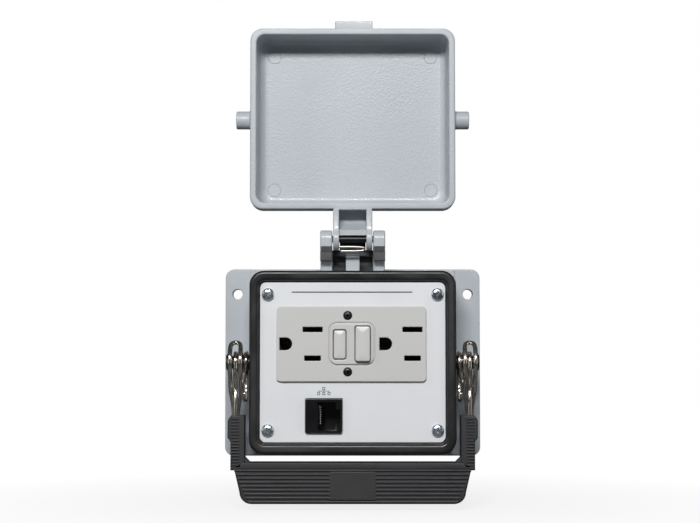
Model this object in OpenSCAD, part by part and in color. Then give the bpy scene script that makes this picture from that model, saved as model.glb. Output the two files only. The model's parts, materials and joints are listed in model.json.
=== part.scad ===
// Panel interface port: a flanged die-cast housing with a turned duplex
// ground-fault outlet, a network jack, a hinged cover and a wire locking lever.
// Frame: origin at the middle of the panel bolt pattern, on the panel's face.
// +X right, +Z up, and the front looks along -Y. All sizes are millimetres.

/* [Flange] */
// How far the flange reaches past the shell, left and right
flange_side = 12.5; // [12.3:0.1:20]
// How far the flange reaches past the shell, above and below
flange_end = 2.1; // [1:0.1:10]
// Thickness of the flange
flange_t = 4; // [3:0.5:6]
// Corner radius of the flange
flange_r = 4; // [2:0.5:5]
// Thickness of the sheet gasket between flange and panel
seal_t = 1.5; // [1:0.25:3]
// Distance from the flange's left and right edges to its bolt holes
bolt_side = 5.5; // [5:0.1:6]
// Distance from the flange's upper and lower edges to its bolt holes
bolt_end = 11.4; // [6:0.2:20]
// Radius of a bolt hole
bolt_r = 2.25; // [1.75:0.25:2.75]

/* [Housing] */
// Width of the housing's shell
shell_w = 91; // [89:0.5:92]
// Height of the housing's shell
shell_h = 80.6; // [79:0.5:82]
// Corner radius of the shell
shell_r = 6.3; // [5:0.1:8]
// Wall behind the ledge
shell_wall = 4; // [3:0.25:4.5]
// Metal rim beside the faceplate
rim_side = 4.2; // [3.6:0.1:4.8]
// Metal rim above and below the faceplate
rim_end = 4.7; // [4:0.1:5.2]
// Height of the metal rim above the panel
rim_y = 28.5; // [27:0.5:34]
// How far the ledge under the faceplate reaches inwards
ledge_w = 2.3; // [1.5:0.1:2.6]
// Thickness of that ledge
ledge_t = 3.5; // [2.5:0.5:5]
// Height of the rubber rim gasket above the metal rim
rim_seal_t = 3; // [2:0.25:4]
// Depth of the groove that holds the rim gasket
groove_d = 1; // [0.5:0.1:1]

/* [Faceplate] */
// Thickness of the faceplate
plate_t = 2; // [1.5:0.25:3]
// Depth of the faceplate's seat below the metal rim
plate_sink = 1; // [0.5:0.1:1.2]
// Gap round the faceplate
plate_gap = 0.3; // [0.1:0.1:0.5]
// Distance from the seat's left and right edges to the faceplate screws
screw_side = 3.85; // [3.5:0.05:4.2]
// Distance from the seat's upper and lower edges to the faceplate screws
screw_end = 5.6; // [5:0.1:6.5]
// Thread radius of the faceplate screws
screw_r = 1.5; // [1.25:0.25:1.75]

/* [Outlet] */
// Middle of the outlet, from the middle of the housing
outlet_x = -0.6; // [-1:0.1:0]
// Height of the outlet's middle
outlet_z = 8.1; // [7:0.1:9]
// Length of the outlet's face
face_w = 66; // [65.6:0.1:67]
// Width of the outlet's face
face_h = 33.2; // [32.6:0.1:34]
// How far the face stands on the faceplate
face_t = 1.5; // [1:0.25:2]
// Distance between like slots of the two receptacles
receptacle_pitch = 44.1; // [43:0.1:45]
// Middle of the two slot pairs, from the outlet's middle
receptacle_shift = 4.95; // [4:0.05:5.5]
// Distance between the two slots of a pair
blade_pitch = 12.7; // [12.5:0.1:12.9]
// Width of a slot
slot_w = 2.3; // [2:0.1:2.6]
// Length of a neutral slot
neutral_l = 8.8; // [8:0.1:9.2]
// Length of a hot slot
hot_l = 7.3; // [6.6:0.1:7.6]
// Distance from the slot pair to the ground hole
ground_off = 11.85; // [11:0.05:12.2]
// Width of the ground hole
ground_w = 5.6; // [5:0.1:6]
// Depth of the outlet's case behind its strap
case_d = 32; // [31:1:40]
// Wall of the outlet's case
case_wall = 1.6; // [1:0.1:2]
// Thickness of the outlet's strap
strap_t = 1.4; // [1:0.1:2]

/* [Buttons] */
// Width of the test button
test_w = 5.3; // [5:0.1:6]
// Height of the test button
test_h = 12.6; // [11:0.1:13]
// How far the test button stands out
test_out = 0.9; // [0.5:0.1:1.5]
// Width of the reset button
reset_w = 6.4; // [5:0.1:6.6]
// Height of the reset button
reset_h = 15.4; // [13:0.1:15.6]
// How far the reset button stands out
reset_out = 3; // [2:0.1:3.5]
// Gap round each button
button_gap = 0.35; // [0.2:0.05:0.6]

/* [Network jack] */
// Middle of the jack, from the middle of the housing
jack_x = -12.75; // [-14:0.25:-11]
// Height of the jack's middle
jack_z = -23.55; // [-24:0.05:-23]
// Width of the jack's body
jack_w = 16.1; // [15.5:0.1:17]
// Height of the jack's body
jack_h = 14.9; // [14.5:0.1:15.2]
// How far the jack stands out of the faceplate
jack_out = 1.8; // [1:0.1:2.5]
// Length of each half of the jack
jack_half = 19.5; // [17:0.5:22]
// Width of the socket, across its contacts
socket_h = 12.3; // [11.9:0.1:12.6]
// Height of the socket, from contacts to latch
socket_w = 7.8; // [7:0.1:8.2]
// Depth of the socket
socket_d = 14.3; // [13:0.1:15]

/* [Cover] */
// How far the cover reaches past the shell, all round
lid_over = 0.5; // [0:0.1:0.5]
// Depth of the cover
lid_d = 19; // [17:0.5:24]
// Wall of the cover at its rim
lid_wall = 2.8; // [2:0.1:3.5]
// Thickness of the cover's front
lid_floor = 2.5; // [2:0.1:4]
// Round along the cover's outer edges
lid_round = 9; // [9:0.25:10]
// Radius of the cover's side pegs
peg_r = 4.05; // [3.5:0.05:4.05]
// How far each peg reaches past the lever's leg
peg_past = 0.7; // [0:0.1:0.9]
// Height of a closed cover's rim above the rim gasket
lid_lift = 0.1; // [0.1:0.1:0.5]

/* [Hinge] */
// Height of the hinge axis above the housing's top wall
hinge_up = 14.3; // [13.8:0.1:15]
// Depth of the hinge axis below the metal rim
hinge_sink = 0.5; // [0:0.1:1]
// Radius of the hinge pin
hinge_r = 1.5; // [1.25:0.25:1.5]
// Running clearance of the hinge pin
hinge_play = 0.05; // [0.02:0.01:0.1]
// Half width of the cover's arm
arm_half = 8.7; // [8:0.1:9]
// Gap between the arm and each ear
ear_gap = 0.35; // [0.3:0.05:0.6]
// Thickness of an ear
ear_t = 5.35; // [4:0.05:6]

/* [Lever] */
// Depth of the lever's axis below the metal rim
pivot_sink = 3; // [2.6:0.1:3]
// Radius of a pivot pin
pivot_r = 3; // [2.5:0.25:3]
// Radius of the lever's wire
wire_r = 1; // [0.9:0.05:1.1]
// Clearance between wire and pivot pin
pivot_play = 0.15; // [0.1:0.05:0.2]
// Gap between the shell's bottom wall and the grip bar
grip_drop = 3.6; // [3.6:0.1:10]
// Height of the grip bar
grip_h = 18.4; // [14:0.2:22]
// Thickness of the grip, front to back
grip_t = 9.4; // [7:0.2:10]

/* [Hidden] */
$fn = 48;
eps = 0.02;
skin = 0.2;

// Values tied to the shell
flange_w = shell_w + 2 * flange_side;
flange_h = shell_h + 2 * flange_end;
bolt_x = flange_w - 2 * bolt_side;
bolt_z = flange_h - 2 * bolt_end;
screw_x = shell_w - 2 * rim_side - 2 * screw_side;
screw_z = shell_h - 2 * rim_end - 2 * screw_end;
lid_w = shell_w + 2 * lid_over;
lid_h = shell_h + 2 * lid_over;
hinge_y = rim_y - hinge_sink;
pivot_y = rim_y - pivot_sink;
reach = shell_h / 2 + grip_drop;

// Levels along Y, counted back from the front
rim_front = -rim_y;
seal_front = -rim_y - rim_seal_t;
plate_back = -rim_y + plate_sink;
plate_front = plate_back - plate_t;
flange_front = -seal_t - flange_t;
face_front = plate_front - face_t;
strap_front = plate_back;
case_front = strap_front + strap_t;
case_back = case_front + case_d;
case_in = case_back - case_wall;
jack_front = plate_front - jack_out;
jack_mid = jack_front + jack_half;
jack_back = jack_mid + jack_half;

// Openings of the housing
seat_w = shell_w - 2 * rim_side;
seat_h = shell_h - 2 * rim_end;
throat_w = seat_w - 2 * ledge_w;
throat_h = seat_h - 2 * ledge_w;
cavity_w = shell_w - 2 * shell_wall;
cavity_h = shell_h - 2 * shell_wall;
corner_gap = 2;
boss_r = screw_r + 2.25;
boss_l = 12;
thread_play = 0.05;
groove_w = 1.6;
pad_l = 3;
spigot_r = pivot_r - 1.3;

// Outlet: the neck stands in the faceplate, and the case hangs behind it
neck_in = 1;
neck_play = 0.2;
neck_w = face_w - 2 * neck_in;
neck_h = face_h - 2 * neck_in;
case_w = face_w + 2.4;
case_h = face_h + 3.8;
case_x = outlet_x - 0.5;
post_r = 2.6;
post_sink = 0.6;
post_x = case_w / 2 - case_wall - post_r + post_sink;
post_z = case_h / 2 - case_wall - post_r + post_sink;
slot_x = [for (s = [-1, 1]) outlet_x + receptacle_shift + s * receptacle_pitch / 2];
ground_x = [for (x = slot_x) x - ground_off];
neutral_z = outlet_z + blade_pitch / 2;
hot_z = outlet_z - blade_pitch / 2;
face_screw_x = outlet_x - 1.6;
face_screw_z = 12.45;
face_screw_r = 1.2;
face_head_r = 1.9;
test_x = outlet_x - 5.15;
reset_x = outlet_x + 5;
plateau_w = 19.8;
plateau_h = 18.4;
plateau_x = outlet_x + 0.3;
plateau_out = 0.4;
carrier_front = case_front + 12.7;
carrier_t = 1.6;
board_front = case_front + 19.1;
board_t = 1.6;
bus_t = 0.8;
clip_half = 4.4;
clip_gap = 0.8;
leaf_t = 0.8;
socket_r = 3.4;
stem_r = 1.1;
coil_r = 2;
coil_wire = 0.25;
button_back = case_front + 2.1;
terminal_x = [-19.4, 18.6];
terminal_y = (carrier_front + carrier_t + board_front) / 2;

// Trip solenoid, between the circuit board and the case's back
coil_y = (board_front + board_t + case_in) / 2;
solenoid_x = outlet_x + 14.6;
solenoid_l = 14;
solenoid_r = 4;
plunger_r = 1.5;
plunger_travel = 3;

// Network jack
socket_x = jack_x + 1.35;
socket_z = jack_z - 0.2;
latch_w = 2;
latch_h = 6;
contact_pitch = 1.02;

// Hinge and cover, which stands open, turned half a turn from closed
hinge_z = shell_h / 2 + hinge_up;
lid_closed = seal_front - lid_lift;
lid_rim = -2 * hinge_y - lid_closed;
lid_z = 2 * hinge_z;
lid_back = lid_rim + lid_d;
lid_inner_round = 3.2;
lid_r = 5.5;
peg_closed_y = lid_closed - 6.9;
peg_y = -2 * hinge_y - peg_closed_y;
lid_bottom = lid_z - lid_h / 2;
ear_in = arm_half + ear_gap;
ear_out = ear_in + ear_t;
ear_r = 3.9;
cheek_r = 5;
window_half = 6;
arm_front = -hinge_y - 2.5;
spring_r = 0.6;
spring_bar = [-hinge_y - 2.2, hinge_z - 2.7];
spring_loop = [-hinge_y - 1.8, hinge_z - 5.1];

// Lever: four layers of wire, from the housing outwards. On each side one wire turns round
// the pivot pin and ends in the hook, and a second one is a bow with both ends in the grip.
layer_gap = 0.3;
side_gap = lid_over + 0.2;
layer = 2 * wire_r + layer_gap;
lever_hook = shell_w / 2 + side_gap + wire_r;
lever_ring = lever_hook + layer;
lever_leg = lever_ring + layer;
lever_loop = lever_leg + layer;
wrap_r = pivot_r + pivot_play + wire_r;
seat_a = 60;
seat_reach = abs(peg_closed_y + pivot_y);
seat_r = peg_r + wire_r + 0.4;
loop_r = seat_reach - seat_r;
bow_r = loop_r - 0.15;
bow_top = 72;
bow_low = -66;
leg_f = 2.4;
bow_f = [-0.1, -2.5];
bow_in = [0.6, -0.6];
step_h = 1.2;
peg_span = 2 * (lever_leg + peg_past);
pin_end = lever_loop + wire_r + 0.25;
grip_in = shell_w / 2 + 2.1;
grip_out = lever_leg + 3;
arm_top = reach - 20.6;
wire_end = reach - 2.8;

// ---- shapes -------------------------------------------------------------

// A plate that lies in the XZ plane, from level front back to front + t
module slab(front, t) {
    translate([0, front + t, 0]) rotate([90, 0, 0]) linear_extrude(t) children();
}

// A plate in the YZ plane, from x0 to x0 + t; its outline is drawn as (y, z)
module side_slab(x0, t) {
    translate([x0, 0, 0]) rotate([90, 0, 90]) linear_extrude(t) children();
}

module rounded(w, h, r) {
    square([w - 2 * r, h], center = true);
    square([w, h - 2 * r], center = true);
    for (sx = [-1, 1], sz = [-1, 1])
        translate([sx * (w / 2 - r), sz * (h / 2 - r)]) circle(r);
}

module four(dx, dz) {
    for (sx = [-1, 1], sz = [-1, 1]) translate([sx * dx / 2, sz * dz / 2]) children();
}

// A cylinder along Y, from y0 to y1
module rod_y(x, z, y0, y1, r) {
    translate([x, y1, z]) rotate([90, 0, 0]) cylinder(h = y1 - y0, r = r);
}

// A cylinder along X, from x0 to x1
module rod_x(x0, x1, y, z, r) {
    translate([x0, y, z]) rotate([0, 90, 0]) cylinder(h = x1 - x0, r = r);
}

// A cylinder along Z, from z0 to z1
module rod_z(x, y, z0, z1, r) {
    translate([x, y, z0]) cylinder(h = z1 - z0, r = r);
}

module block(x0, x1, y0, y1, z0, z1) {
    translate([x0, y0, z0]) cube([x1 - x0, y1 - y0, z1 - z0]);
}

// ---- wire ---------------------------------------------------------------

function unit(v) = v / norm(v);
function headings(p) = let (n = len(p) - 1)
    [for (i = [0:n]) unit(p[min(i + 1, n)] - p[max(i - 1, 0)])];
function carried(v, t) = unit(v - (v * t) * t);

// Round wire along a list of points: a ring of corners at each one, carried
// along the path without twist, with a cap at each end
module wire(path, r, sides = 10) {
    last = len(path) - 1;
    t = headings(path);
    first = carried(abs(t[0].x) < 0.9 ? [1, 0, 0] : [0, 1, 0], t[0]);
    up = [for (i = 0, v = first; i <= last; v = carried(v, t[min(i + 1, last)]), i = i + 1) v];
    corners = [for (i = [0:last], k = [0:sides - 1])
        path[i] + r * (cos(360 * k / sides) * up[i] + sin(360 * k / sides) * cross(t[i], up[i]))];
    walls = [for (i = [0:last - 1], k = [0:sides - 1])
        let (a = i * sides, b = a + sides, m = (k + 1) % sides) each
            [[a + k, b + k, b + m], [a + k, b + m, a + m]]];
    polyhedron(points = corners, faces = concat(
        [[for (k = [0:sides - 1]) k]],
        walls,
        [[for (k = [sides - 1:-1:0]) last * sides + k]]));
}

// Helix of a small compression spring along Y, with its start at y0
function helix(x, z, y0, y1, r, turns) = let (steps = 10 * turns)
    [for (i = [0:steps]) let (a = 360 * turns * i / steps)
        [x + r * cos(a), y0 + (y1 - y0) * i / steps, z + r * sin(a)]];

// Point at forward distance f and height z from the lever's axis
function lever_point(x, f, z) = [x, -pivot_y - f, z];

// Arc about (cf, cz), from angle a0 to a1 counted from forward to up, while
// the radius runs from r0 to r1 and the layer from x0 to x1
function lever_arc(x0, x1, cf, cz, r0, r1, a0, a1, n) = [for (i = [0:n])
    let (s = i / n, a = a0 + (a1 - a0) * s, r = r0 + (r1 - r0) * s)
        lever_point(x0 + (x1 - x0) * s, cf + r * cos(a), cz + r * sin(a))];

// Leg: up out of the grip, back round the place of a closed cover's peg when the lever is
// shut, and forward to the front of the pivot pin
function lever_leg_path() = let (zs = -seat_reach * sin(seat_a),
                                 nook = seat_reach * cos(seat_a) - peg_r - wire_r - 0.25) concat(
    [for (z = [-wire_end, -26, zs - 7]) lever_point(lever_leg, leg_f, z)],
    [for (p = [[0.9, -4], [0, -1.2], [0, 1.2], [1.8, 4], [3.2, 5.5]])
        lever_point(lever_leg, nook + p[0], zs + p[1])],
    [lever_point(lever_leg, wrap_r * cos(-10), -0.74)]);

// The hook's seat lies about the place of a closed cover's peg
function lever_hook_path() = let (f = seat_reach * cos(-seat_a), z = seat_reach * sin(-seat_a))
    concat(
        [lever_point(lever_hook, -wrap_r + 0.5, -2.2), lever_point(lever_hook, -wrap_r + 2.4, -5.4)],
        lever_arc(lever_hook, lever_hook, f, z, seat_r, seat_r, 175, 300, 8),
        lever_arc(lever_hook, lever_hook, 0, 0, seat_reach + seat_r, seat_reach + seat_r, -56, -46, 2));

function lever_path() = concat(
    lever_leg_path(),
    lever_arc(lever_leg, lever_leg, 0, 0, wrap_r, wrap_r, 5, 175, 8),
    lever_arc(lever_leg, lever_ring, 0, 0, wrap_r, wrap_r, 195, 345, 7),
    lever_arc(lever_ring, lever_hook, 0, 0, wrap_r, wrap_r, 365, 535, 8),
    lever_hook_path());

// One side of the bow: out of the grip, up to the layer x, and round in front of the pin
function bow_side(x, n) = let (in = lever_leg + bow_in[n], f = bow_f[n],
                               f0 = bow_r * cos(bow_low), z0 = bow_r * sin(bow_low)) concat(
    [lever_point(in, f, -wire_end), lever_point(in, f, -arm_top + 1)],
    [lever_point(x - (x - in) * 0.4, f, z0 - 9), lever_point(x, f, z0 - 6 - n * 3)],
    [lever_point(x, f + (f0 - f) * 0.6, z0 - 2.6)],
    lever_arc(x, x, 0, 0, bow_r, bow_r, bow_low, bow_top, 10));

function bow_turn() = let (half = (lever_loop - lever_ring) / 2)
    [for (i = [1:7]) let (u = 180 * i / 8, a = bow_top + half / bow_r * 57.3 * sin(u))
        lever_point(lever_ring + half + half * cos(u), bow_r * cos(a), bow_r * sin(a))];

function reversed(p) = [for (i = [len(p) - 1:-1:0]) p[i]];

function bow_path() = concat(bow_side(lever_loop, 0), bow_turn(), reversed(bow_side(lever_ring, 1)));

// ---- housing ------------------------------------------------------------

module ear_outline() {
    translate([-hinge_y, hinge_z]) circle(ear_r);
    polygon([
        [-hinge_y - ear_r, hinge_z], [-hinge_y - ear_r, hinge_z - 3.5],
        [-hinge_y + 4, hinge_z - 7.7], [-hinge_y + 6, shell_h / 2 - 0.5],
        [-hinge_y + 18, shell_h / 2 - 0.5], [-hinge_y + ear_r, hinge_z]
    ]);
}

module screw_boss() {
    for (sx = [-1, 1], sz = [-1, 1]) {
        x = sx * screw_x / 2;
        z = sz * screw_z / 2;
        rod_y(x, z, plate_back, plate_back + boss_l, boss_r);
        slab(plate_back, boss_l) translate([x, z]) translate([sx > 0 ? 0 : -4.5, sz > 0 ? -1 : -6])
            square([4.5, 7]);
        slab(plate_back, boss_l) translate([x, z]) translate([sx > 0 ? -1 : -5, sz > 0 ? 0 : -6.5])
            square([6, 6.5]);
    }
}

module housing() {
    top = shell_h / 2;
    color("lightsteelblue") difference() {
        union() {
            difference() {
                union() {
                    slab(flange_front, flange_t) rounded(flange_w, flange_h, flange_r);
                    slab(rim_front, -seal_t - rim_front) rounded(shell_w, shell_h, shell_r);
                }
                slab(rim_front - 1, plate_sink + 1) rounded(seat_w, seat_h, corner_gap + 0.7);
                slab(rim_front - 1, rim_y + 1) rounded(throat_w, throat_h, corner_gap);
                slab(plate_back + ledge_t, rim_y) rounded(cavity_w, cavity_h, corner_gap + 1);
                slab(rim_front - 1, 1 + groove_d) difference() {
                    rounded(shell_w - 1.3 * 2, shell_h - 1.5 * 2, shell_r - 1.3);
                    rounded(shell_w - 1.3 * 2 - 2 * groove_w, shell_h - 1.5 * 2 - 2 * groove_w,
                            shell_r - 1.3 - groove_w);
                }
            }
            screw_boss();
            for (s = [-1, 1]) side_slab(s > 0 ? ear_in : -ear_out, ear_t) ear_outline();
            block(-ear_out + 1, ear_out - 1, -hinge_y + 8, -hinge_y + 17, top - 0.5, hinge_z - 4.3);
            block(-3.1, 3.1, -hinge_y + 4, -hinge_y + 9, top - 0.5, hinge_z - 6.3);
            for (s = [-1, 1])
                rod_x(s > 0 ? cavity_w / 2 - pad_l : -cavity_w / 2 - 0.5,
                      s > 0 ? cavity_w / 2 + 0.5 : -cavity_w / 2 + pad_l, -pivot_y, 0, pivot_r);
        }
        slab(rim_front - 1, plate_sink + 1) rounded(seat_w, seat_h, corner_gap + 0.7);
        slab(flange_front - 1, flange_t + 2) four(bolt_x, bolt_z) circle(bolt_r);
        slab(plate_back - 1, boss_l - 1) four(screw_x, screw_z) circle(screw_r + thread_play);
        rod_x(-ear_out - 1, ear_out + 1, -hinge_y, hinge_z, hinge_r);
        for (s = [-1, 1])
            rod_x(s > 0 ? cavity_w / 2 - pad_l - 1 : -shell_w / 2 - 1,
                  s > 0 ? shell_w / 2 + 1 : -cavity_w / 2 + pad_l + 1, -pivot_y, 0, spigot_r);
    }
}

module panel_gasket() {
    color("dimgray") slab(-seal_t, seal_t) difference() {
        rounded(flange_w - 2, flange_h - 2, flange_r - 1);
        rounded(cavity_w + 1, cavity_h + 1, corner_gap + 1.5);
        four(bolt_x, bolt_z) circle(bolt_r);
    }
}

module rim_ring(grow, shrink) {
    difference() {
        rounded(shell_w + 2 * grow, shell_h + 2 * grow, shell_r + grow);
        rounded(seat_w - 0.4 + 2 * shrink, seat_h - 0.4 + 2 * shrink, corner_gap + 0.5 + shrink);
    }
}

module rim_gasket() {
    edge = 0.9;
    tongue_w = groove_w - 0.2;
    color("black") {
        slab(rim_front - rim_seal_t + edge, rim_seal_t - edge) rim_ring(0.2, 0);
        slab(rim_front - rim_seal_t, edge) rim_ring(0.2 - edge, edge);
        slab(rim_front, groove_d - 0.1) difference() {
            rounded(shell_w - 2.8, shell_h - 3.2, shell_r - 1.4);
            rounded(shell_w - 2.8 - 2 * tongue_w, shell_h - 3.2 - 2 * tongue_w,
                    shell_r - 1.4 - tongue_w);
        }
    }
}

module faceplate() {
    color("whitesmoke") slab(plate_front, plate_t) difference() {
        rounded(seat_w - 2 * plate_gap, seat_h - 2 * plate_gap, corner_gap + 0.5);
        translate([outlet_x, outlet_z])
            square([neck_w + 2 * neck_play, neck_h + 2 * neck_play], center = true);
        translate([jack_x, jack_z])
            square([jack_w + 2 * neck_play, jack_h + 2 * neck_play], center = true);
        four(screw_x, screw_z) circle(screw_r + 0.2);
    }
}

module faceplate_screws() {
    head_r = screw_r + 1.2;
    head_t = 1.7;
    color("silver") for (sx = [-1, 1], sz = [-1, 1]) {
        x = sx * screw_x / 2;
        z = sz * screw_z / 2;
        rod_y(x, z, plate_front - head_t, plate_front, head_r);
        rod_y(x, z, plate_front - eps, plate_front + 9, screw_r);
    }
}

// ---- outlet -------------------------------------------------------------

// Ground hole: flat towards the outlet's near end, round on the far side
module ground_outline(grow = 0) {
    r = ground_w / 2 + grow;
    circle(r);
    translate([-r, -r]) square([r, 2 * r]);
}

module blade_outlines() {
    for (x = slot_x) {
        translate([x, neutral_z]) square([neutral_l, slot_w], center = true);
        translate([x, hot_z]) square([hot_l, slot_w], center = true);
    }
    for (x = ground_x) translate([x, outlet_z]) ground_outline();
}

module button_outlines(grow) {
    translate([test_x, outlet_z - 0.3])
        square([test_w + 2 * grow, test_h + 2 * grow], center = true);
    translate([reset_x, outlet_z])
        square([reset_w + 2 * grow, reset_h + 2 * grow], center = true);
}

module face_screw_places() {
    for (s = [-1, 1]) translate([face_screw_x, outlet_z + s * face_screw_z]) children();
}

module outlet_face() {
    color("lightgray") difference() {
        union() {
            slab(face_front, face_t) translate([outlet_x, outlet_z]) rounded(face_w, face_h, 1.5);
            slab(face_front - plateau_out, plateau_out + eps)
                translate([plateau_x, outlet_z]) rounded(plateau_w, plateau_h, 3.5);
            slab(plate_front - eps, plate_t + eps)
                translate([outlet_x, outlet_z]) square([neck_w, neck_h], center = true);
        }
        slab(face_front - 1, plate_t + face_t + 2) {
            blade_outlines();
            button_outlines(button_gap);
            face_screw_places() circle(face_screw_r + 0.1);
        }
        slab(face_front - 1, 2.2) face_screw_places() circle(face_head_r + 0.05);
    }
}

module outlet_strap() {
    color("silver") slab(strap_front, strap_t) difference() {
        translate([outlet_x, outlet_z]) {
            square([neck_w + 8, 20], center = true);
            square([neck_w, case_h - 1], center = true);
        }
        for (x = slot_x) translate([x, outlet_z])
            square([neutral_l + 1.4, blade_pitch + slot_w + 2], center = true);
        translate([(test_x + reset_x) / 2, outlet_z])
            square([reset_x - test_x + test_w + 4.6, reset_h + 3], center = true);
        for (x = ground_x) translate([x, outlet_z]) circle(ground_w / 2 + 0.1);
        face_screw_places() circle(face_screw_r);
        translate([case_x, outlet_z]) four(2 * post_x, 2 * post_z) circle(1.1);
    }
}

module case_outline(inset) {
    translate([case_x, outlet_z]) square([case_w - 2 * inset, case_h - 2 * inset], center = true);
}

module post_outlines(r) {
    translate([case_x, outlet_z]) four(2 * post_x, 2 * post_z) circle(r);
}

module outlet_case() {
    color("gainsboro") difference() {
        union() {
            slab(case_front, case_d) difference() {
                case_outline(0);
                case_outline(case_wall);
            }
            slab(case_in, case_wall) case_outline(0);
            slab(case_front, case_d) post_outlines(post_r);
        }
        slab(case_front - 1, case_d + 2) post_outlines(1.15);
        slab(case_back - 1.5, 3) post_outlines(2.15);
        for (x = terminal_x)
            rod_z(outlet_x + x, terminal_y, outlet_z - case_h / 2 - 1, outlet_z + case_h / 2 + 1, 1.7);
        rod_x(case_x - case_w / 2 - 1, case_x - case_w / 2 + case_wall + 1, terminal_y, outlet_z, 1.7);
    }
}

module outlet_screws() {
    color("black") {
        slab(face_front - 0.1, 1.3) face_screw_places() circle(face_head_r);
        slab(face_front + 1, case_front - face_front + 2) face_screw_places() circle(face_screw_r);
    }
}

module case_screws() {
    color("silver") {
        slab(case_back - 1.4, 1.3) post_outlines(2.1);
        slab(strap_front, case_back - strap_front - 1) post_outlines(1.1);
    }
}

// Plate that fills the case from wall to wall, clear of its four posts
module case_plate(front, t) {
    slab(front, t) difference() {
        case_outline(case_wall + 0.05);
        post_outlines(post_r + 0.1);
    }
}

module contact_carrier() {
    color("ivory") difference() {
        case_plate(carrier_front, carrier_t);
        rod_y(reset_x, outlet_z, carrier_front - 1, carrier_front + carrier_t + 1, stem_r + 0.4);
    }
}

// Bus bar along X with a pair of leaves at each receptacle
module blade_contacts(z) {
    bus_front = carrier_front - bus_t;
    half = clip_gap + leaf_t;
    block(slot_x[0] - clip_half, slot_x[1] + clip_half, bus_front, carrier_front, z - half, z + half);
    for (x = slot_x, s = [-1, 1])
        block(x - clip_half + 0.5, x + clip_half - 0.5, case_front + 0.6, bus_front + eps,
              s > 0 ? z + clip_gap : z - half, s > 0 ? z + half : z - clip_gap);
}

module neutral_contacts() {
    color("gold") blade_contacts(neutral_z);
}

module hot_contacts() {
    color("gold") blade_contacts(hot_z);
}

module ground_contacts() {
    color("gold") for (x = ground_x) difference() {
        rod_y(x, outlet_z, case_front, case_front + 10, socket_r);
        rod_y(x, outlet_z, case_front - 1, case_front + 11, socket_r - 0.8);
    }
}

// Two clamp screws through a long wall of the case, each in a plate inside
module terminals(side) {
    inner = outlet_z + side * (case_h / 2 - case_wall);
    outer = outlet_z + side * case_h / 2;
    for (t = terminal_x) {
        x = outlet_x + t;
        rod_z(x, terminal_y, min(inner - side, outer), max(inner - side, outer), 1.6);
        rod_z(x, terminal_y, min(outer, outer + 1.8 * side), max(outer, outer + 1.8 * side), 3.2);
        difference() {
            block(x - 4, x + 4, terminal_y - 1.9, terminal_y + 1.9,
                  min(inner, inner - 1.2 * side), max(inner, inner - 1.2 * side));
            rod_z(x, terminal_y, inner - 3, inner + 3, 1.6);
        }
    }
}

module neutral_terminals() {
    color("silver") terminals(1);
}

module hot_terminals() {
    color("goldenrod") terminals(-1);
}

module ground_terminal() {
    outer = case_x - case_w / 2;
    inner = outer + case_wall;
    color("green") {
        rod_x(outer - 1.8, outer, terminal_y, outlet_z, 3.2);
        rod_x(outer - eps, inner + 1, terminal_y, outlet_z, 1.6);
        difference() {
            block(inner, inner + 1.2, terminal_y - 1.9, terminal_y + 1.9, outlet_z - 4, outlet_z + 4);
            rod_x(outer, inner + 2, terminal_y, outlet_z, 1.6);
        }
    }
}

module circuit_board() {
    color("seagreen") case_plate(board_front, board_t);
}

module sense_coils() {
    color("sienna") for (s = [-1, 1])
        translate([outlet_x - 15.4, coil_y + s * 2.05, outlet_z]) rotate([90, 0, 0])
            rotate_extrude() translate([5.5, 0]) circle(1.8);
}

module trip_solenoid() {
    color("peru") difference() {
        rod_x(solenoid_x - solenoid_l / 2, solenoid_x + solenoid_l / 2, coil_y, outlet_z, solenoid_r);
        rod_x(solenoid_x - solenoid_l, solenoid_x + solenoid_l, coil_y, outlet_z, plunger_r + 0.1);
    }
}

module solenoid_frame() {
    front = board_front + board_t + 0.1;
    back = case_in - 0.1;
    color("slategray") difference() {
        union() {
            for (s = [-1, 1])
                block(solenoid_x + s * (solenoid_l / 2 + 0.5) - 0.45,
                      solenoid_x + s * (solenoid_l / 2 + 0.5) + 0.45,
                      front, back, outlet_z - 4.5, outlet_z + 4.5);
            block(solenoid_x - solenoid_l / 2 - 0.9, solenoid_x + solenoid_l / 2 + 0.9,
                  coil_y + solenoid_r + 0.1, back, outlet_z - 4.5, outlet_z + 4.5);
        }
        rod_x(solenoid_x - solenoid_l, solenoid_x + solenoid_l, coil_y, outlet_z, plunger_r + 0.1);
    }
}

module solenoid_plunger() {
    tail = solenoid_x - solenoid_l / 2 - 5.9;
    color("gray") {
        rod_x(tail, solenoid_x + solenoid_l / 2 - plunger_travel - 1, coil_y, outlet_z, plunger_r);
        rod_x(tail - 1, tail + eps, coil_y, outlet_z, 2.9);
    }
}

module plunger_spring() {
    x1 = solenoid_x - solenoid_l / 2 - 1.3;
    x0 = x1 - 4.2;
    steps = 40;
    color("silver") wire([for (i = [0:steps]) let (a = 1440 * i / steps)
        [x0 + (x1 - x0) * i / steps, coil_y + 2.05 * cos(a), outlet_z + 2.05 * sin(a)]], 0.2, 8);
}

// ---- buttons ------------------------------------------------------------

module button(x, z, w, h, out) {
    slab(face_front - out, button_back - face_front + out) translate([x, z]) rounded(w, h, 1);
    slab(plate_back + 0.2, 1) translate([x, z]) square([w + 1.8, h + 1.4], center = true);
}

module test_button() {
    color("lightgray") {
        button(test_x, outlet_z - 0.3, test_w, test_h, test_out);
        rod_y(test_x, outlet_z - 0.3, button_back - eps, carrier_front - 2, stem_r);
    }
}

module test_spring() {
    color("silver") wire(helix(test_x, outlet_z - 0.3, button_back + 0.3, carrier_front - 0.3,
                               coil_r, 5), coil_wire, 8);
}

module reset_button() {
    color("lightgray") difference() {
        button(reset_x, outlet_z, reset_w, reset_h, reset_out);
        rod_y(reset_x, outlet_z, button_back - 4, button_back + 1, stem_r);
    }
}

module reset_stem() {
    color("slategray") rod_y(reset_x, outlet_z, button_back - 4, carrier_front + 0.8, stem_r);
}

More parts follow.
